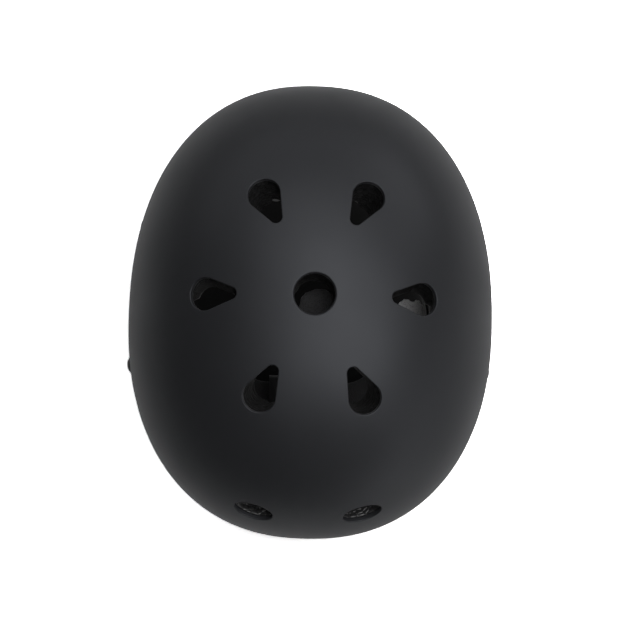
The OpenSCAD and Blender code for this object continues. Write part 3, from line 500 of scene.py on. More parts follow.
def outline_ring(s, place, axes, outline, g, sign=1, depth_draft=0.0, lift=0.0, lean=0.0):
    """One ring of an opening, where its outline, grown by g, meets a skin. Below the shell's outside the
    opening narrows with its draft and leans outwards."""
    o = outline(g)
    shift = o[:, :1] * axes[:, 0] + o[:, 1:] * axes[:, 1]
    ways = axes[:, 2] - lean * axes[:, 0] + depth_draft * shift
    turn, q = meet(s, place + shift - lean * FOAM_OUT[0] * axes[:, 0], ways, lift)
    return turn, q, skin(s, turn, q, lift), sign * skin_normal(s, turn, q, lift)


def open_vent(b, outer, inner, vent, inset=0.0, draft=0.0, lip=None, steps=5,
              carved=lambda p, outs: p, walls=3, lean=0.0):
    """Adds a vent's lips and wall between two skins, and gives what each skin's fill needs."""
    _, place, axes, outline, own_lip = vent
    lip = own_lip if lip is None else lip

    def upper(g):
        return outline_ring(outer, place, axes, outline, lip - inset + g, 1, draft)

    def lower(g):
        return outline_ring(inner, place, axes, outline, g - inset, -1, draft, 0.0, lean)

    rings = [b.add(*upper(g)[2:]) for g in OUTER_RINGS]
    _, _, p, n = upper(0)
    along = unit(np.roll(p, -1, 0) - np.roll(p, 1, 0))
    away = unit(np.cross(along, n))
    middle = p - lip * n
    for beta in np.linspace(0, pi / 2, steps):
        m = n * cos(beta) - away * sin(beta)
        rings.append(b.add(middle + lip * m, m))
    top = middle - lip * away
    _, _, low, low_n = lower(0)
    low = carved(low, -low_n)
    for share in np.linspace(0, 1, walls + 2)[1:-1]:
        rings.append(b.add(top + (low - top) * share, -away))
    rings.append(b.add(low))
    for g in INNER_RINGS:
        _, _, p, n = lower(g)
        rings.append(b.add(carved(p, -n), n))
    b.strips(rings)
    return [(ring, flat(*edge(g)[:2]), flat(*edge(g + RING_MARGIN)[:2])) for ring, edge, g in (
        (rings[0], upper, OUTER_RINGS[0]), (rings[-1], lower, INNER_RINGS[-1]))]


def rivet_seat(b, side, y):
    """A shallow round seat in the shell's side under a rivet's head."""
    place, axes = side_frame(side, y, -RIVET_DROP)
    outline = ellipse_outline(2 * SEAT_R, 2 * SEAT_R, 48)

    def edge(g):
        return outline_ring(OUTSIDE, place, axes, outline, g, 1, 0.0, RIM_ROUND)

    rings = [b.add(*edge(g)[2:]) for g in SEAT_RINGS]
    for g, deep, lean in SEAT_WALL:
        _, _, p, n = edge(g)
        rings.append(b.add(p - n * deep, unit(n + lean * unit(place - p))))
    b.strips(rings)
    b.add_faces(rings[-1])
    g = SEAT_RINGS[0]
    return rings[0], flat(*edge(g)[:2]), flat(*edge(g + SEAT_MARGIN)[:2])


def skin_rows(above, below):
    """The q of each row of a skin's grid, from beside the crown to the rim."""
    return np.concatenate([np.linspace(0.02, 1, above), np.linspace(1, 2, below)[1:]])


def close_rim(b, outer, inner, steps):
    """Joins two skins at the rim, through rings of an inset and a lift."""
    turns = around(outer.shape[1])
    rings = [b.add(skin(s, turns, np.full(len(turns), 2.0), lift)) for s, lift in steps]
    b.strips([outer[-1], *rings, inner[-1]])


def make_shell():
    b = Builder()
    outs, ins = map(list, zip(*[open_vent(b, OUTSIDE, IN_SHELL, vent) for vent in vent_list()]))
    outs += [rivet_seat(b, side, y) for side in (-1, 1) for y in RIVET_YS]
    columns, rows = 252, skin_rows(58, 26)
    outer = holed_skin(b, OUTSIDE, outs, columns, rows, 1, RIM_ROUND)
    inner = holed_skin(b, IN_SHELL, ins, columns, rows, -1, RIM_ROUND)
    bends = np.linspace(0, pi / 2, 6)
    close_rim(b, outer, inner, [
        (s + way * RIM_ROUND * (1 - cos(beta)), RIM_ROUND * (1 - sin(beta)))
        for way, s, betas in ((1, OUTSIDE, bends[1:]), (-1, IN_SHELL, bends[:0:-1])) for beta in betas])
    return b.mesh("shell_moulded")


def turn_and_q(a, f):
    """The plan direction and q of a direction a, in degrees, and a height f from -1 at the rim to 1."""
    r = np.radians(a)
    c, d = np.cos(r), np.sin(r)
    power = 2 / PLAN_POWER
    turn = np.arctan2(np.sign(d) * np.abs(d) ** power, np.sign(c) * np.abs(c) ** power)
    g = np.clip(f, 0, 1) * pi / 2
    phi = np.arctan2(np.sin(g) ** (2 / DOME_POWER), np.cos(g) ** (2 / DOME_POWER))
    return turn, np.where(f > 0, 1 - phi / (pi / 2), 1 - f)


def groove_lines():
    """Middles of the air grooves, from beside the crown vent through each teardrop to the oval beyond."""
    lines = []
    t = np.linspace(0, 1, 60)
    for a in TEAR_WAYS:
        if a % 180 == 0:
            end, low = a, GROOVE_SIDE_END
        else:
            x, length, way, low = (
                (OVAL_REAR[0], REAR_LEN, 90, GROOVE_REAR_END) if a < 180
                else (OVAL_FRONT[0], FRONT_LEN, 270, GROOVE_FRONT_END))
            lean = 90 - degrees(atan2(length, x))
            end = way + (-lean if a % 180 < 90 else lean)
        f = GROOVE_TOP + (low - GROOVE_TOP) * t
        lines.append(skin(FOAM_IN, *turn_and_q(a + (end - a) * ease(t), f)))
    return lines


def carve(points, outs):
    """Moves points of the foam's inner skin out into the foam, where grooves and hook recesses are."""
    deep = np.zeros(len(points))
    for line in GROOVES:
        near = np.full(len(points), 1e9)
        for a, c in zip(line, line[1:]):
            d = c - a
            t = np.clip(((points - a) @ d) / (d @ d), 0, 1)
            near = np.minimum(near, np.linalg.norm(points - (a + t[:, None] * d), axis=1))
        deep = np.maximum(deep, GROOVE_DEEP * ease((GROOVE_W / 2 + GROOVE_SPREAD - near) / GROOVE_EDGE))
    for spot in HOOKS:
        deep = np.maximum(deep, HOOK_RECESS * (np.linalg.norm(points - spot, axis=1) < HOOK_RECESS_R))
    return points + deep[:, None] * outs


def bevel(share):
    """A point of the foam's lower edge: its share of the thickness, and its lift."""
    return share, FOAM_LIFT + share * FOAM_BEVEL


def make_liner():
    b = Builder()
    outs, ins = zip(*[
        open_vent(b, FOAM_OUT, FOAM_IN, vent, CHANNEL_INSET, CHANNEL_DRAFT, CHANNEL_LIP, 3, carve, 14,
                  SIDE_LEAN if vent[0] else 0.0) for vent in vent_list()])
    columns = 300
    outer_lift, inner_lift = FOAM_LIFT + FOAM_OUTER_ROUND, FOAM_LIFT + FOAM_BEVEL + FOAM_INNER_ROUND
    outer = holed_skin(b, FOAM_OUT, outs, columns, skin_rows(44, 14), 1, outer_lift)
    grid = len(b.points)
    inner = holed_skin(b, FOAM_IN, ins, columns, skin_rows(80, 26), -1, inner_lift)
    edge = [bend((0, outer_lift), bevel(0), bevel(0.08), t) for t in (0.3, 0.7, 1)]
    edge += [bevel(t) for t in (0.3, 0.5, 0.7)]
    edge += [bend(bevel(0.86), bevel(1), (1, inner_lift), t) for t in (0, 0.25, 0.5, 0.75)]
    close_rim(b, outer, inner, [(FOAM_OUT + share * (FOAM_IN - FOAM_OUT), lift) for share, lift in edge])
    b.points[grid] = carve(b.points[grid], -b.normals[grid])
    b.normals = [np.zeros_like(n) for n in b.normals]
    liner = b.mesh("liner_foam")
    for side in (-1, 1):
        for y, path in zip(RIVET_YS, (FRONT_PATH, REAR_PATH)):
            place, axes = side_frame(side, y, -RIVET_DROP)
            lean = side * atan2(path[-3][1] - y, -RIVET_DROP - path[-3][2])
            cut_box(liner, place, axes @ turned(2, lean), POCKET_BOX)
        cut_box(liner, np.array([side * (ANCHOR_X - 1), ANCHOR_Y, -ANCHOR_DROP]), np.eye(3), ANCHOR_BOX)
    liner.data.set_sharp_from_angle(angle=radians(48))
    return liner


def bend(a, b, c, t):
    """A point of the curve from a to c that leans towards b."""
    a, b, c = np.array(a, float), np.array(b, float), np.array(c, float)
    return (1 - t) ** 2 * a + 2 * t * (1 - t) * b + t * t * c


def cut_box(ob, place, axes, box):
    """Cuts a box, given in the axes' own directions about a place, out of a mesh."""
    xs, ys, zs = box
    corners = [place + axes @ np.array((x, y, z)) for x in xs for y in ys for z in zs]
    me = bpy.data.meshes.new("cutter")
    me.from_pydata([tuple(c * MM) for c in corners], [], [
        (0, 1, 3, 2), (4, 6, 7, 5), (0, 4, 5, 1), (2, 3, 7, 6), (0, 2, 6, 4), (1, 5, 7, 3)])
    turn_faces_out(me)
    cutter = add_object("cutter", me)
    mod = ob.modifiers.new("cut", "BOOLEAN")
    mod.object, mod.operation, mod.solver = cutter, "DIFFERENCE", "MANIFOLD"
    settle(ob)
    bpy.data.objects.remove(cutter)


def settle(ob):
    """Makes an object's modifiers part of its mesh."""
    dg = bpy.context.evaluated_depsgraph_get()
    me = bpy.data.meshes.new_from_object(ob.evaluated_get(dg))
    ob.modifiers.clear()
    ob.data = me


def side_x(d, y, z):
    """How far out the shell's side lies at a y and a height z under its widest level, inset by d."""
    length = FRONT_LEN if y < 0 else REAR_LEN
    share = abs(y / length) ** PLAN_POWER
    tuck = TUCK_FRONT / FRONT_LEN if y < 0 else TUCK_REAR / REAR_LEN
    f = z / float(rim_depth(y))
    rho = 1 - (TUCK_SIDE / HALF_W * (1 - share) + tuck * share) * f * f
    return (HALF_W - d) * (rho ** PLAN_POWER - (abs(y) / (length - d)) ** PLAN_POWER) ** (1 / PLAN_POWER)


def side_normal(y, z):
    d = 0.01
    return unit(np.array([
        1,
        (side_x(0, y - d, z) - side_x(0, y + d, z)) / (2 * d),
        (side_x(0, y, z - d) - side_x(0, y, z + d)) / (2 * d)]))


def side_point(y, z, depth):
    return np.array([side_x(0, y, z), y, z]) - depth * side_normal(y, z)


def side_frame(side, y, z):
    """A place on the shell's side and axes there: X down, Z out along the normal."""
    n, p = side_normal(y, z), side_point(y, z, 0)
    axes = turned(2, atan2(n[1], n[0])) @ turned(1, acos(n[2]))
    if side < 0:
        p, axes = p * MIRROR, np.diag(MIRROR) @ axes @ np.diag([1.0, -1, 1])
    return p, axes


DIVIDER_LEAN = atan(
    (side_x(WEB_DEPTH, DIVIDER_P[1], -EAR_RIM) - DIVIDER_P[0]) / (-DIVIDER_P[2] - EAR_RIM - 2))
DIVIDER_AXES = turned(1, DIVIDER_LEAN) @ turned(0, -DIVIDER_SWING)


def at_divider(x, y, z):
    return DIVIDER_P + DIVIDER_AXES @ np.array([x, y, z], float)


def upper_path(y0, way):
    """An upper strap's points, from above its rivet, down inside the shell and on to the divider."""
    slot = np.array([0, way * SLOT_Y, DIVIDER_H / 2])
    mouth = at_divider(*slot)
    slope = (mouth[1] - y0) / (mouth[2] + RIVET_DROP)
    zs = np.arange(-RIVET_DROP + 10, -EAR_RIM - 1.001, -8.0)
    side = [side_point(y0 + (z + RIVET_DROP) * slope, z, WEB_DEPTH) for z in zs]
    last = DIVIDER_AXES.T @ (side[-1] - DIVIDER_P)
    fall = unit((slot - last) * (0, 1, 1))
    return side + [at_divider(*(slot + k * fall)) for k in (-2, 0, WEB_GRIP)]


FRONT_PATH, REAR_PATH = upper_path(RIVET_YS[0], -1), upper_path(RIVET_YS[1], 1)
GROOVES = groove_lines()
HOOKS = [skin(FOAM_IN, *turn_and_q(np.array(a), np.array(f))) for a, f in HOOK_SPOTS]


def camera():
    cam = add_object("camera", bpy.data.cameras.new("camera"))
    back = Vector((
        -tan(radians(CAMERA_SIDE_TILT)), -tan(radians(CAMERA_TILT)), 1)).normalized()
    side = Vector((1, 0, 0))
    side = (side - side.dot(back) * back).normalized()
    up = back.cross(side)
    c, s = cos(radians(CAMERA_ROLL)), sin(radians(CAMERA_ROLL))
    right, top = c * side + s * up, c * up - s * side
    cam.matrix_world = Matrix(
        [(*row, CAMERA_DISTANCE * row[2]) for row in zip(right, top, back)] + [(0, 0, 0, 1)])
    cam.data.sensor_width = SENSOR
    cam.data.lens = CAMERA_LENS
    cam.data.shift_x = SHIFT_X
    cam.data.shift_y = SHIFT_Y
    cam.data.clip_start = 0.05
    cam.data.clip_end = 30
    scene.camera = cam


def run_along(path):
    """How far along a path each of its points lies."""
    return np.concatenate([[0], np.cumsum(np.linalg.norm(np.diff(path, axis=0), axis=1))])


def smooth_path(points, spacing=2.0):
    """Points at an even spacing on a curve through the given ones, and how far along it they lie."""
    p = np.array(points, float)
    p = np.vstack([2 * p[0] - p[1], p, 2 * p[-1] - p[-2]])
    fine = []
    for i in range(1, len(p) - 2):
        a, b, c, d = p[i - 1:i + 3]
        for t in np.linspace(0, 1, 13)[:-1]:
            fine.append(0.5 * (2 * b + (c - a) * t + (2 * a - 5 * b + 4 * c - d) * t ** 2
                               + (3 * b - 3 * c + d - a) * t ** 3))
    fine = np.array(fine + [p[-2]])
    run = run_along(fine)
    at = np.linspace(0, run[-1], max(3, int(round(run[-1] / spacing)) + 1))
    return np.stack([np.interp(at, run, fine[:, k]) for k in range(3)], -1), at


def rounded_edge(half, r):
    """The half round end of a section, as (across, out) pairs."""
    return [(half - r + r * cos(a), r * sin(a)) for a in np.linspace(-pi / 2, pi / 2, 7)]


def web_section():
    """Half round edges and a flat middle."""
    r = WEB_T / 2
    right = rounded_edge(WEB_W / 2, r)
    flat_x = np.linspace(1, -1, 8)[1:-1] * (WEB_W / 2 - r)
    half = right + [(x, r) for x in flat_x]
    return np.array(half + [(-x, -y) for x, y in half])


def sweep(name, path, at, hints, section):
    """A closed section swept along a path, across it as near as can be to the hints. Its across and along
    distances are kept as UVs, in metres."""
    along = unit(np.gradient(path, axis=0))
    hints = np.broadcast_to(hints, path.shape)
    wide = unit(hints - (hints * along).sum(1)[:, None] * along)
    b = Builder()
    rings = [b.add(p + section[:, :1] * w + section[:, 1:] * o)
             for p, w, o in zip(path, wide, np.cross(along, wide))]
    b.strips(rings)
    b.add_faces(rings[0], rings[-1])
    ob = b.mesh(name)
    me = ob.data
    loops = np.zeros(len(me.loops), int)
    me.loops.foreach_get("vertex_index", loops)
    ring, corner = np.divmod(loops, len(section))
    me.uv_layers.new(name="web").data.foreach_set("uv", np.stack([
        section[corner, 0] * MM, np.asarray(at)[ring] * MM], -1).astype(np.float32).ravel())
    me.set_sharp_from_angle(angle=radians(60))
    return ob


def mirrored(points):
    return np.asarray(points, float) * MIRROR


def bezier(p, t):
    return (1 - t) ** 3 * p[0] + 3 * (1 - t) ** 2 * t * p[1] + 3 * (1 - t) * t * t * p[2] + t ** 3 * p[3]


def chin_path(end_x):
    """The right chin strap, from the divider's lower slot straight down and over to the buckle."""
    foot = -DIVIDER_H / 2
    start = at_divider(0, 0, foot - KEEPER_RUN)
    way = unit(start - at_divider(0, 0, 0))
    stop = CHIN_P + (end_x, 0, 0)
    curve = [start, start + CHIN_PULLS[0] * way, stop + (CHIN_PULLS[1], 0, 0), stop]
    return ([at_divider(0, 0, WEB_GRIP + foot)]
            + [at_divider(0, 0, foot - KEEPER_RUN * i / 4) for i in range(4)]
            + [bezier(curve, i / 10) for i in range(11)] + [stop - (WEB_GRIP, 0, 0)])


def upper_hints(path):
    """Flat against the shell first, and flat in the divider's slot last."""
    drop = ease((-path[:, 2] - EAR_RIM - 1) / (DIVIDER_H * 0.6))[:, None]
    near = np.array([np.cross((0, 0, 1), side_normal(y, max(z, -EAR_RIM))) for _, y, z in path])
    return unit(near * (1 - drop) + DIVIDER_AXES[:, 1] * drop)


def strap(name, points, hints, node, side=1, body="helmet"):
    path, at = smooth_path(points)
    h = hints(path) if callable(hints) else np.array(hints, float)
    if side < 0:
        path, h = mirrored(path), h * MIRROR
    return finish_piece(sweep(name, path, at, h, web_section()), "webbing", webbing, body, node), path


def finish_piece(ob, slot, mat, body, *stands_for):
    ob.data.materials.clear()
    ob.data.materials.append(mat)
    if body:
        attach(ob, body)
    if stands_for:
        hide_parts(*stands_for)
    return ob


def make_rivets():
    """Domed heads in the shell's seats, shanks through the webbing, and tails set over the washers."""
    b = Builder()
    a = around(40)
    for side in (-1, 1):
        for y in RIVET_YS:
            place, axes = side_frame(side, y, -RIVET_DROP)
            spokes = np.cos(a)[:, None] * axes[:, 0] + np.sin(a)[:, None] * axes[:, 1]
            rings = [b.add(place + r * spokes + h * axes[:, 2]) for r, h in RIVET_PROFILE]
            b.strips(rings)
            b.add_faces(rings[0], rings[-1])
    ob = b.mesh("rivets")
    ob.data.set_sharp_from_angle(angle=radians(50))
    return finish_piece(ob, "rivet", rivet_mat, "helmet", "strap_rivets")


def tail_run(path):
    """The loose tail lies outside the left chin strap, bows away from it a little and ends short of it."""
    p = np.array(path)
    out = []
    for i in range(1, len(p) - 1):
        along = unit(p[i + 1] - p[i - 1])
        across = unit(np.array([0, 1, 0]) - along[1] * along)
        bow = 0 if i < 5 else TAIL_BOW * sin(pi * (i - 4) / (len(p) - 6))
        out.append(p[i] + np.cross(across, along) * (WEB_T + TAIL_GAP + bow))
    out[-1] = out[-1] - (TAIL_SHORT, 0, 0)
    return out


def make_straps():
    for side, word in ((1, "right"), (-1, "left")):
        strap(f"{word}_front_webbing", FRONT_PATH, upper_hints, f"{word}_front_strap", side)
        strap(f"{word}_rear_webbing", REAR_PATH, upper_hints, f"{word}_rear_strap", side)
    left = mirrored(chin_path(-SOCKET_X))
    strap("left_chin_webbing", left, (0, 1, 0), "left_chin_strap")
    strap("tail_webbing", tail_run(left), (0, 1, 0), "strap_tail")
    ob, path = strap("right_chin_webbing", chin_path(PLUG_END), (0, 1, 0), "right_chin_strap", body=None)
    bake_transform(ob)


def make_bands():
    """Bands that follow an ellipse from their anchors to the dial and drop on the way, with raised edges."""
    reach_x, reach_y, drop = 77.5, 100.755, 76.0
    first, last = radians(-7.27525), radians(76.57)
    half_w, edge_w, mid_w = 6.5, 2.4, 3.2
    r, mid_r = 0.9, 0.45
    t = np.linspace(0, 1, 90)
    a = first + (last - first) * t
    path = np.stack([reach_x * np.cos(a), reach_y * np.sin(a),
                     -ANCHOR_DROP - (drop - ANCHOR_DROP) * ease(t / 0.9)], -1)
    inner, outer = half_w - mid_w, half_w - edge_w
    half = rounded_edge(half_w, r) + [(outer, r), (inner, mid_r), (-inner, mid_r), (-outer, r)]
    section = np.array(half + [(-x, -y) for x, y in half])
    for side, word in ((1, "right"), (-1, "left")):
        p = path if side > 0 else mirrored(path)
        ob = sweep(f"{word}_band", p, run_along(path), np.array([0, 0, 1.0]), section)
        finish_piece(ob, "band_plastic", band_nylon, None, f"{word}_fit_band")
        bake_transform(ob)


def soften(node, width):
    """Gives a CAD node's edges a small round, and its faces smooth shading."""
    ob = nodes[node]
    ob.modifiers.new("weld", "WELD").merge_threshold = 1e-5
    mod = ob.modifiers.new("round", "BEVEL")
    mod.width = width * MM
    mod.segments = 3
    mod.limit_method = "ANGLE"
    mod.angle_limit = radians(32)
    mod.harden_normals = True
    shade_smooth(ob.data)
    return ob


def round_crown_end(p):
    """Draws the corners of the crown pad's rear end forward, so that the end is an arc."""
    middle_x, half_w, start_y, run = 3.3, 14.5, -22, 26
    wider, back, corners = 1.2, 3.0, 6.5
    side = (p[:, 0] - middle_x) / half_w
    near = ease((p[:, 1] - start_y) / run)
    p[:, 0] += side * wider
    p[:, 1] += near * (back - corners * side * side)
    return p


def reach_back(p):
    """Stretches the right temple pad's rear end round the head, its lower side less: it ends in an arc."""
    start_y, run, low_x, low_w, corner = -36, 40, 64, 9, 9
    near = ease((p[:, 1] - start_y) / run)
    a = radians(4) * near
    low = np.maximum(0, (p[:, 0] - low_x) / low_w)
    x, y = p[:, 0].copy(), p[:, 1].copy()
    p[:, 0] = x * np.cos(a) - y * np.sin(a)
    p[:, 1] = x * np.sin(a) + y * np.cos(a) - corner * near * low * low
    return p


def slide_down(p):
    """Lowers the left temple pad a little, clear of the front vent's channel."""
    return p @ turned(1, radians(-3.5)).T


def make_pad(name, node, body, held, channels=(), shape=None):
    """A comfort pad: the CAD pad remeshed, blown up as cloth with its back held, then seamed."""
    me = nodes[node].data.copy()
    if shape:
        move_to(me, shape(read(me.vertices, "co").astype(float) / MM) * MM)
    ob = add_object(name, me)
    mod = ob.modifiers.new("fine", "REMESH")
    mod.mode, mod.voxel_size, mod.use_smooth_shade = "VOXEL", PAD_MESH * MM, True
    settle(ob)
    blow_up(ob, held)
    smooth = ob.modifiers.new("smooth", "CORRECTIVE_SMOOTH")
    smooth.factor, smooth.iterations, smooth.use_only_smooth = 0.5, 3, True
    sub = ob.modifiers.new("fine", "SUBSURF")
    sub.levels = sub.render_levels = 2
    settle(ob)
    sew(ob, held, channels)
    shade_smooth(ob.data)
    finish_piece(ob, "pad_fabric", pale_knit if "temple" in node else knit, body, node)
    return ob


def blow_up(ob, held):
    """Cloth under pressure, with the pad's back held to the foam and every move kept under a limit."""
    start = read(ob.data.vertices, "co").astype(float)
    group = ob.vertex_groups.new(name="held")
    for i, h in enumerate(held(start / MM)):
        # Fully held up to 1.24 mm off the foam, and free from 2.44 mm
        group.add([i], float(np.clip(1.2 - (h - 1.0) / 1.2, 0, 1)), "REPLACE")
    cloth = ob.modifiers.new("cloth", "CLOTH")
    s = cloth.settings
    s.quality = 6
    s.mass = 0.15
    s.tension_stiffness = s.compression_stiffness = 12
    s.shear_stiffness = 6
    s.bending_stiffness = 0.3
    s.use_pressure = True
    s.uniform_pressure_force = 4
    s.shrink_min = -0.04
    s.vertex_group_mass = "held"
    s.effector_weights.gravity = 0
    cloth.point_cache.frame_start, cloth.point_cache.frame_end = 1, CLOTH_FRAMES
    for f in range(1, CLOTH_FRAMES + 1):
        scene.frame_set(f)
    settle(ob)
    scene.frame_set(1)
    move = read(ob.data.vertices, "co").astype(float) - start
    far = np.linalg.norm(move, axis=1, keepdims=True)
    move_to(ob.data, start + move * np.minimum(1, PAD_CAP / np.maximum(far, 1e-9)))
    ob.vertex_groups.clear()


def sew(ob, held, channels):
    """Draws the cover in along the seam round a pad's back and along its sewn channels."""
    p, n = read(ob.data.vertices, "co"), read(ob.data.vertex_normals, "vector")
    h = held(p / MM)
    draw = SEAM_DRAW * np.exp(-((h - SEAM_RISE) / SEAM_W) ** 2)
    for place, way in channels:
        off = (p / MM - place) @ unit(np.array(way, float))
        sewn = SEWN_DRAW * np.exp(-(off / SEWN_W) ** 2) * ease((h - SEWN_RISE) / SEWN_RISE)
        draw = np.maximum(draw, sewn)
    move_to(ob.data, p - (draw * MM)[:, None] * n)
    ob.data.update()


def rise_on_foam(p):
    """How far points stand off the foam's inner skin."""
    turn, q = first_guess(p)
    for _ in range(3):
        n = skin_normal(FOAM_IN, turn, q)
        off = p - skin(FOAM_IN, turn, q)
        h = (off * n).sum(1)
        flat_off = off - h[:, None] * n
        across, down = skin_slopes(FOAM_IN, turn, q)
        turn = turn + (flat_off * across).sum(1) / (across * across).sum(1)
        q = np.clip(q + (flat_off * down).sum(1) / (down * down).sum(1), 0.02, 1.95)
    return -h - PAD_GAP


def rise_on_housing(p):
    """How far points stand off the dial housing's front."""
    return HOUSING_R - NAPE_GAP - np.hypot(p[:, 0], p[:, 1])


def make_pads():
    across = [((x, 0, 0), (1, 0, 0)) for x in (-19, 19)]
    middle = [((0, 2, 0), (0, 1, 0))]
    for node, channels, shape in (
            ("front_pad", across, None), ("rear_pad", across, None),
            ("crown_pad", [((0, y, 0), (0, 1, 0)) for y in (-14, -37)], round_crown_end),
            ("left_side_pad", middle, None), ("right_side_pad", middle, None),
            ("left_temple_pad", (), slide_down), ("right_temple_pad", (), reach_back)):
        make_pad(node + "_cushion", node, "helmet", rise_on_foam, channels, shape)
    make_pad("nape_pad_cushion", "nape_pad", "fit_dial", rise_on_housing)


class Nodes:
    """Shader nodes, made one after another."""

    def __init__(self, tree):
        self.tree = tree

    def node(self, kind, links=(), **values):
        """Values that aren't attributes of the node go into its inputs of that name."""
        n = self.tree.nodes.new("ShaderNode" + kind)
        for k, v in values.items():
            if k in ("operation", "feature", "data_type", "uv_map", "vector_type", "interpolation_type"):
                setattr(n, k, v)
            else:
                n.inputs[k.replace("_", " ")].default_value = v
        for source, target in links:
            self.tree.links.new(source, n.inputs[target])
        return n

    def part(self, source, k):
        """x, y or z of a vector."""
        return self.node("SeparateXYZ", [(source, "Vector")]).outputs[k]

    def math(self, operation, a, b=0.0):
        n = self.node("Math", operation=operation)
        for k, v in ((0, a), (1, b)):
            if isinstance(v, (int, float)):
                n.inputs[k].default_value = v
            else:
                self.tree.links.new(v, n.inputs[k])
        return n.outputs[0]

    def ramp(self, source, low, high, a=0.0, b=1.0):
        """A value that runs from a at low to b at high."""
        return self.node("MapRange", [(source, "Value")], From_Min=low, From_Max=high,
                         To_Min=a, To_Max=b).outputs[0]


class Shader(Nodes):
    """A material's nodes. Colours and heights go into its Principled node."""

    def __init__(self, name, color, rough, **inputs):
        self.mat = bpy.data.materials.new(name)
        self.mat.use_nodes = True
        super().__init__(self.mat.node_tree)
        self.main = self.tree.nodes["Principled BSDF"]
        self.main.inputs["Base Color"].default_value = (*color, 1)
        self.main.inputs["Roughness"].default_value = rough
        for k, v in inputs.items():
            self.main.inputs[k.replace("_", " ")].default_value = v
        self.spot = self.tree.nodes.new("ShaderNodeTexCoord").outputs["Object"]

    def texture(self, kind, **values):
        return self.node("Tex" + kind, [(self.spot, "Vector")], **values)

    def bump(self, height, strength, distance, before=None):
        n = self.node("Bump", [(height, "Height")], Strength=strength, Distance=distance)
        if before is not None:
            self.tree.links.new(before, n.inputs["Normal"])
        return n.outputs[0]

    def into(self, source, name):
        self.tree.links.new(source, self.main.inputs[name])

    def tone(self, source, dark, light):
        """Base colour between two colours."""
        n = self.node("Mix", data_type="RGBA")
        n.inputs[6].default_value = (*dark, 1)
        n.inputs[7].default_value = (*light, 1)
        self.tree.links.new(source, n.inputs[0])
        self.into(n.outputs[2], "Base Color")


def grained(name, color, rough, grain=900.0, depth=0.00002, spread=0.05, **inputs):
    """Moulded plastic with a fine grain and a slightly uneven gloss."""
    s = Shader(name, color, rough, **inputs)
    fine = s.texture("Noise", Scale=grain, Detail=3.0)
    wide = s.texture("Noise", Scale=22.0, Detail=2.0)
    s.into(s.ramp(wide.outputs["Fac"], 0.3, 0.7, rough - spread, rough + spread), "Roughness")
    s.into(s.bump(fine.outputs["Fac"], 0.5, depth), "Normal")
    return s.mat


def bead_foam():
    """Moulded bead foam: pressed beads with thin seams. Up from 40 to 46 mm, on faces that look up or
    sideways, it is duller and
    carries painted shade: its colour is a third as bright there."""
    s = Shader("bead_foam", (0.01, 0.01, 0.01), 0.6)
    beads_per_metre, painted_shade_from, painted_shade_to = 330.0, 0.040, 0.046
    seams = s.texture("Voronoi", Scale=beads_per_metre, feature="DISTANCE_TO_EDGE")
    cells = s.texture("Voronoi", Scale=beads_per_metre)
    edge = s.ramp(seams.outputs["Distance"], 0.0, 0.09)
    own = s.node("SeparateColor", [(cells.outputs["Color"], "Color")]).outputs[0]
    facing = s.part(s.node("NewGeometry").outputs["True Normal"], 2)
    # Painted shade mask: high up and facing up or sideways, the foam's colour is darkened to a third
    painted_shade_mask = s.math("MULTIPLY", s.ramp(s.part(s.spot, 2), painted_shade_from, painted_shade_to), s.ramp(facing, -0.3, -0.1))
    low = s.math("SUBTRACT", 1.0, painted_shade_mask)
    bead = s.math("MULTIPLY", edge, s.math("ADD", own, 1.0))
    bead_tone_with_painted_shade = s.math("MULTIPLY", bead, s.ramp(low, 0.0, 1.0, 0.33))
    s.tone(bead_tone_with_painted_shade, (0.001, 0.001, 0.001), (0.03, 0.03, 0.031))
    s.into(s.ramp(low, 0.0, 1.0, 0.12), "Specular IOR Level")
    s.into(s.ramp(low, 0.0, 1.0, 0.7, 0.3), "Roughness")
    dome = s.bump(s.math("SUBTRACT", 1.0, cells.outputs["Distance"]), 0.5, 0.0009)
    s.into(s.bump(edge, 0.6, 0.0003, dome), "Normal")
    return s.mat


def knit_fabric(name, dark, light):
    """Spacer knit with small holes."""
    s = Shader(name, light, 0.92, Sheen_Weight=0.15, Sheen_Roughness=0.5)
    loops = s.texture("Voronoi", Scale=1050.0)
    wide = s.texture("Noise", Scale=60.0, Detail=3.0)
    hole = s.ramp(loops.outputs["Distance"], 0.12, 0.42)
    s.tone(hole, dark, light)
    s.into(s.bump(hole, 0.8, 0.0002, s.bump(wide.outputs["Fac"], 0.3, 0.0006)), "Normal")
    return s.mat


def woven():
    """Webbing: fine ribs across in a herringbone."""
    s = Shader("polyester_web", (0.02, 0.02, 0.021), 0.75, Sheen_Weight=0.2, Sheen_Roughness=0.4)
    uv = s.node("UVMap", uv_map="web").outputs[0]
    u, v = s.part(uv, 0), s.part(uv, 1)
    # Per metre
    folds, ribs, threads = 250.0, 700.0, 1500.0
    fold = s.math("ABSOLUTE", s.math("SUBTRACT", s.math("FRACT", s.math("MULTIPLY", u, folds)), 0.5))
    slope = s.math("ADD", s.math("MULTIPLY", v, ribs), s.math("MULTIPLY", fold, 1.6))
    rib = s.math("SINE", s.math("MULTIPLY", slope, tau))
    warp = s.math("SINE", s.math("MULTIPLY", u, threads * tau))
    both = s.math("ADD", s.math("MULTIPLY", rib, 0.35), s.math("MULTIPLY", warp, 0.15))
    s.tone(s.ramp(both, -0.5, 0.5), (0.008, 0.008, 0.009), (0.032, 0.032, 0.034))
    s.into(s.bump(both, 0.7, 0.0003), "Normal")
    return s.mat


def hook_cloth():
    s = Shader("hook_tape", (0.015, 0.015, 0.016), 0.85)
    s.into(s.bump(s.texture("Voronoi", Scale=900.0).outputs["Distance"], 1.0, 0.0006), "Normal")
    return s.mat


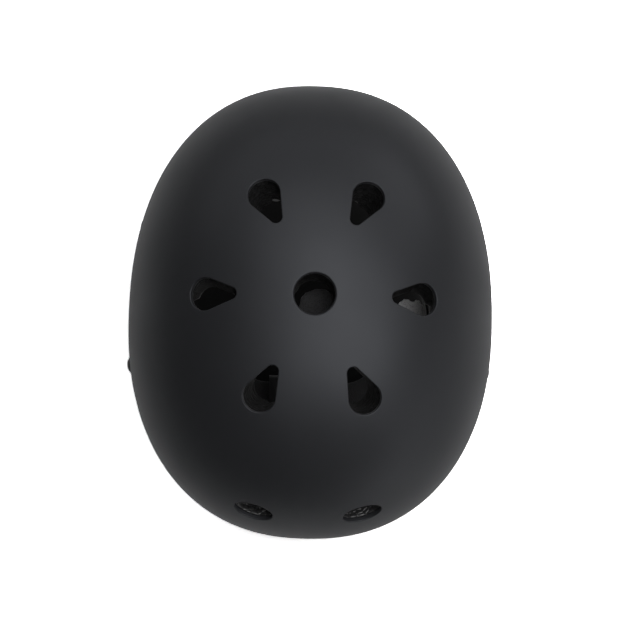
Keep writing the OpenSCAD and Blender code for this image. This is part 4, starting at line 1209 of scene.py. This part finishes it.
abs_satin = grained("abs_satin", (0.0205, 0.021, 0.0232), 0.45, 1400.0, 0.000012, 0.03,
                    Specular_IOR_Level=0.42, Specular_Tint=(0.9, 0.93, 1.0, 1.0))
foam_mat = bead_foam()
knit = knit_fabric("spacer_knit", (0.02, 0.02, 0.021), (0.042, 0.042, 0.044))
pale_knit = knit_fabric("pale_spacer_knit", (0.11, 0.11, 0.113), (0.33, 0.33, 0.335))
webbing = woven()
rivet_mat = grained("painted_steel", (0.012, 0.012, 0.012), 0.36, 500.0, 0.00001)
band_nylon = grained("band_nylon", (0.013, 0.013, 0.014), 0.5, 800.0)

finish_piece(make_shell(), "shell", abs_satin, "helmet", "shell")
finish_piece(make_liner(), "foam", foam_mat, "helmet", "eps_liner")
make_pads()
make_straps()
make_rivets()
make_bands()
for mat, slot, widths in (
        (hook_cloth(), "hook_tape", {"pad_hooks": 0.2}),
        (grained("plated_steel", (0.55, 0.55, 0.56), 0.35, 700.0, 0.00001, Metallic=1.0),
         "washer", {"rivet_washers": 0.15}),
        (grained("harness_plastic", (0.011, 0.011, 0.012), 0.45, 1200.0), "harness_plastic",
         {"left_divider": 0.5, "right_divider": 0.5, "left_divider_flap": 0.3, "right_divider_flap": 0.3}),
        (grained("keeper_rubber", (0.014, 0.014, 0.014), 0.75, 900.0, 0.00003),
         "keeper_rubber", {"strap_keeper": 0.6}),
        (grained("buckle_plastic", (0.010, 0.010, 0.011), 0.4, 1200.0), "buckle_plastic",
         {"buckle_socket": 0.5, "buckle_plug": 0.5, "buckle_prongs": 0.3}),
        (band_nylon, "band_plastic", {"band_anchors": 0.4}),
        (grained("dial_plastic", (0.011, 0.011, 0.012), 0.48, 1200.0, 0.00003),
         "dial_plastic", {"dial_housing": 0.8}),
        (grained("knob_plastic", (0.016, 0.016, 0.017), 0.55, 1200.0, 0.00003),
         "knob_plastic", {"dial_knob": 0.4})):
    for node, width in widths.items():
        finish_piece(soften(node, width), slot, mat, None)

# The floor, in metres, and how bright the camera sees it: a painted shadow under the helmet, and bright
# beside it
FLOOR_Z = -0.1668
FLOOR_HALF = 9.0
FLOOR_TONE = 0.8
FLOOR_GAIN = 4.5
FLOOR_PAINTED_SHADE = 0.015
# The painted shadow patch under the helmet: half width and length, and in shares of them its shift and where
# its edge starts and ends
SHADOW_PATCH_HALF_X, SHADOW_PATCH_HALF_Y = 0.118, 0.155
SHADOW_PATCH_SHIFT, SHADOW_PATCH_FROM, SHADOW_PATCH_TO = -0.16, 0.6, 1.12
# Distances between which the floor turns plain white
WHITE_FROM, WHITE_TO = 0.3, 0.6
SKY_LOW, SKY_HIGH = 0.0006, 0.0163


def add_floor():
    """A matt white floor without an underside. For the camera it carries a painted shadow, nearly black,
    under the helmet, and it is plain white elsewhere."""
    b = Builder()
    half = FLOOR_HALF / MM
    b.add([(x, y, FLOOR_Z / MM) for x, y in ((-half, -half), (half, -half), (half, half), (-half, half))])
    b.add_faces((0, 1, 2, 3))
    floor = b.mesh("floor", False)
    s = Shader("floor_white_painted_shadow", (FLOOR_TONE,) * 3, 0.9)
    seen = s.node("LightPath").outputs["Is Camera Ray"]
    # Painted shadow: inside this patch camera rays see the floor nearly black, fading to the bright gain at
    # its edge
    near = s.node("Mapping", [(s.spot, "Vector")], vector_type="POINT", Location=(0, SHADOW_PATCH_SHIFT, 0),
                  Scale=(1 / SHADOW_PATCH_HALF_X, 1 / SHADOW_PATCH_HALF_Y, 0))
    under = s.node("VectorMath", [(near.outputs[0], 0)], operation="LENGTH")
    edge = s.math("POWER", s.ramp(under.outputs["Value"], SHADOW_PATCH_FROM, SHADOW_PATCH_TO), 4.0)
    camera_gain_with_painted_shadow = s.math("ADD", s.math("MULTIPLY", edge, FLOOR_GAIN), FLOOR_PAINTED_SHADE)
    unseen = s.math("MULTIPLY", s.math("SUBTRACT", 1.0, seen), FLOOR_TONE)
    tone = s.math("ADD", s.math("MULTIPLY", seen, camera_gain_with_painted_shadow), unseen)
    diffuse = s.node("BsdfDiffuse", [(tone, "Color")])
    glow = s.node("Emission", Strength=1.0)
    reach = s.node("VectorMath", [(s.spot, 0)], operation="LENGTH")
    white = s.math("MULTIPLY", s.ramp(reach.outputs["Value"], WHITE_FROM, WHITE_TO), seen)
    top = s.node("MixShader", [(white, 0), (diffuse.outputs[0], 1), (glow.outputs[0], 2)])
    clear = s.node("BsdfTransparent")
    back = s.node("NewGeometry").outputs["Backfacing"]
    whole = s.node("MixShader", [(back, 0), (top.outputs[0], 1), (clear.outputs[0], 2)])
    s.tree.links.new(whole.outputs[0], s.tree.nodes["Material Output"].inputs["Surface"])
    floor.data.materials.append(s.mat)


def add_sky():
    """Faint light, nearly all of it from high up. A camera ray that misses everything sees white."""
    world = bpy.data.worlds.new("studio")
    scene.world = world
    world.use_nodes = True
    s = Nodes(world.node_tree)
    height = s.part(s.node("TexCoord").outputs["Generated"], 2)
    light = s.node("MapRange", [(height, "Value")], interpolation_type="SMOOTHSTEP",
                   From_Min=0.4, From_Max=0.97, To_Min=SKY_LOW, To_Max=SKY_HIGH)
    mix = s.node("Mix", [(s.node("LightPath").outputs["Is Camera Ray"], 0), (light.outputs[0], 2)])
    mix.inputs[3].default_value = 1.0
    back = s.tree.nodes["Background"]
    back.inputs["Color"].default_value = (1, 1, 1, 1)
    s.tree.links.new(mix.outputs[0], back.inputs["Strength"])


def softbox(name, at, size, power):
    lamp = bpy.data.lights.new(name, "AREA")
    lamp.shape = "RECTANGLE"
    lamp.size, lamp.size_y = size
    lamp.energy = power
    ob = add_object(name, lamp)
    ob.location = at
    ob.rotation_euler = (-Vector(at)).to_track_quat("-Z", "Y").to_euler()


add_floor()
add_sky()
for name, at, size, power in (("key", (0.55, -0.18, 1.87), (1.5, 1.5), 20.5),
                              ("side", (1.2, -0.9, 0.7), (0.9, 0.9), 1.4),
                              ("low", (0.95, -1.4, 0.12), (1.2, 0.6), 1.9),
                              ("right", (1.5, -0.3, 0.25), (1.2, 0.6), 1.0),
                              ("top", (-0.1, 0.9, 1.9), (1.5, 1.2), 8.8),
                              ("far", (0, 1.8, 0.7), (1.8, 0.7), 3.0),
                              ("far_left", (-1.2, 1.2, 0.8), (1.2, 0.8), 1.9),
                              ("far_right", (1.2, 1.2, 0.8), (1.2, 0.8), 4.3)):
    softbox(name, at, size, power)
camera()
scene.view_settings.view_transform = "Standard"
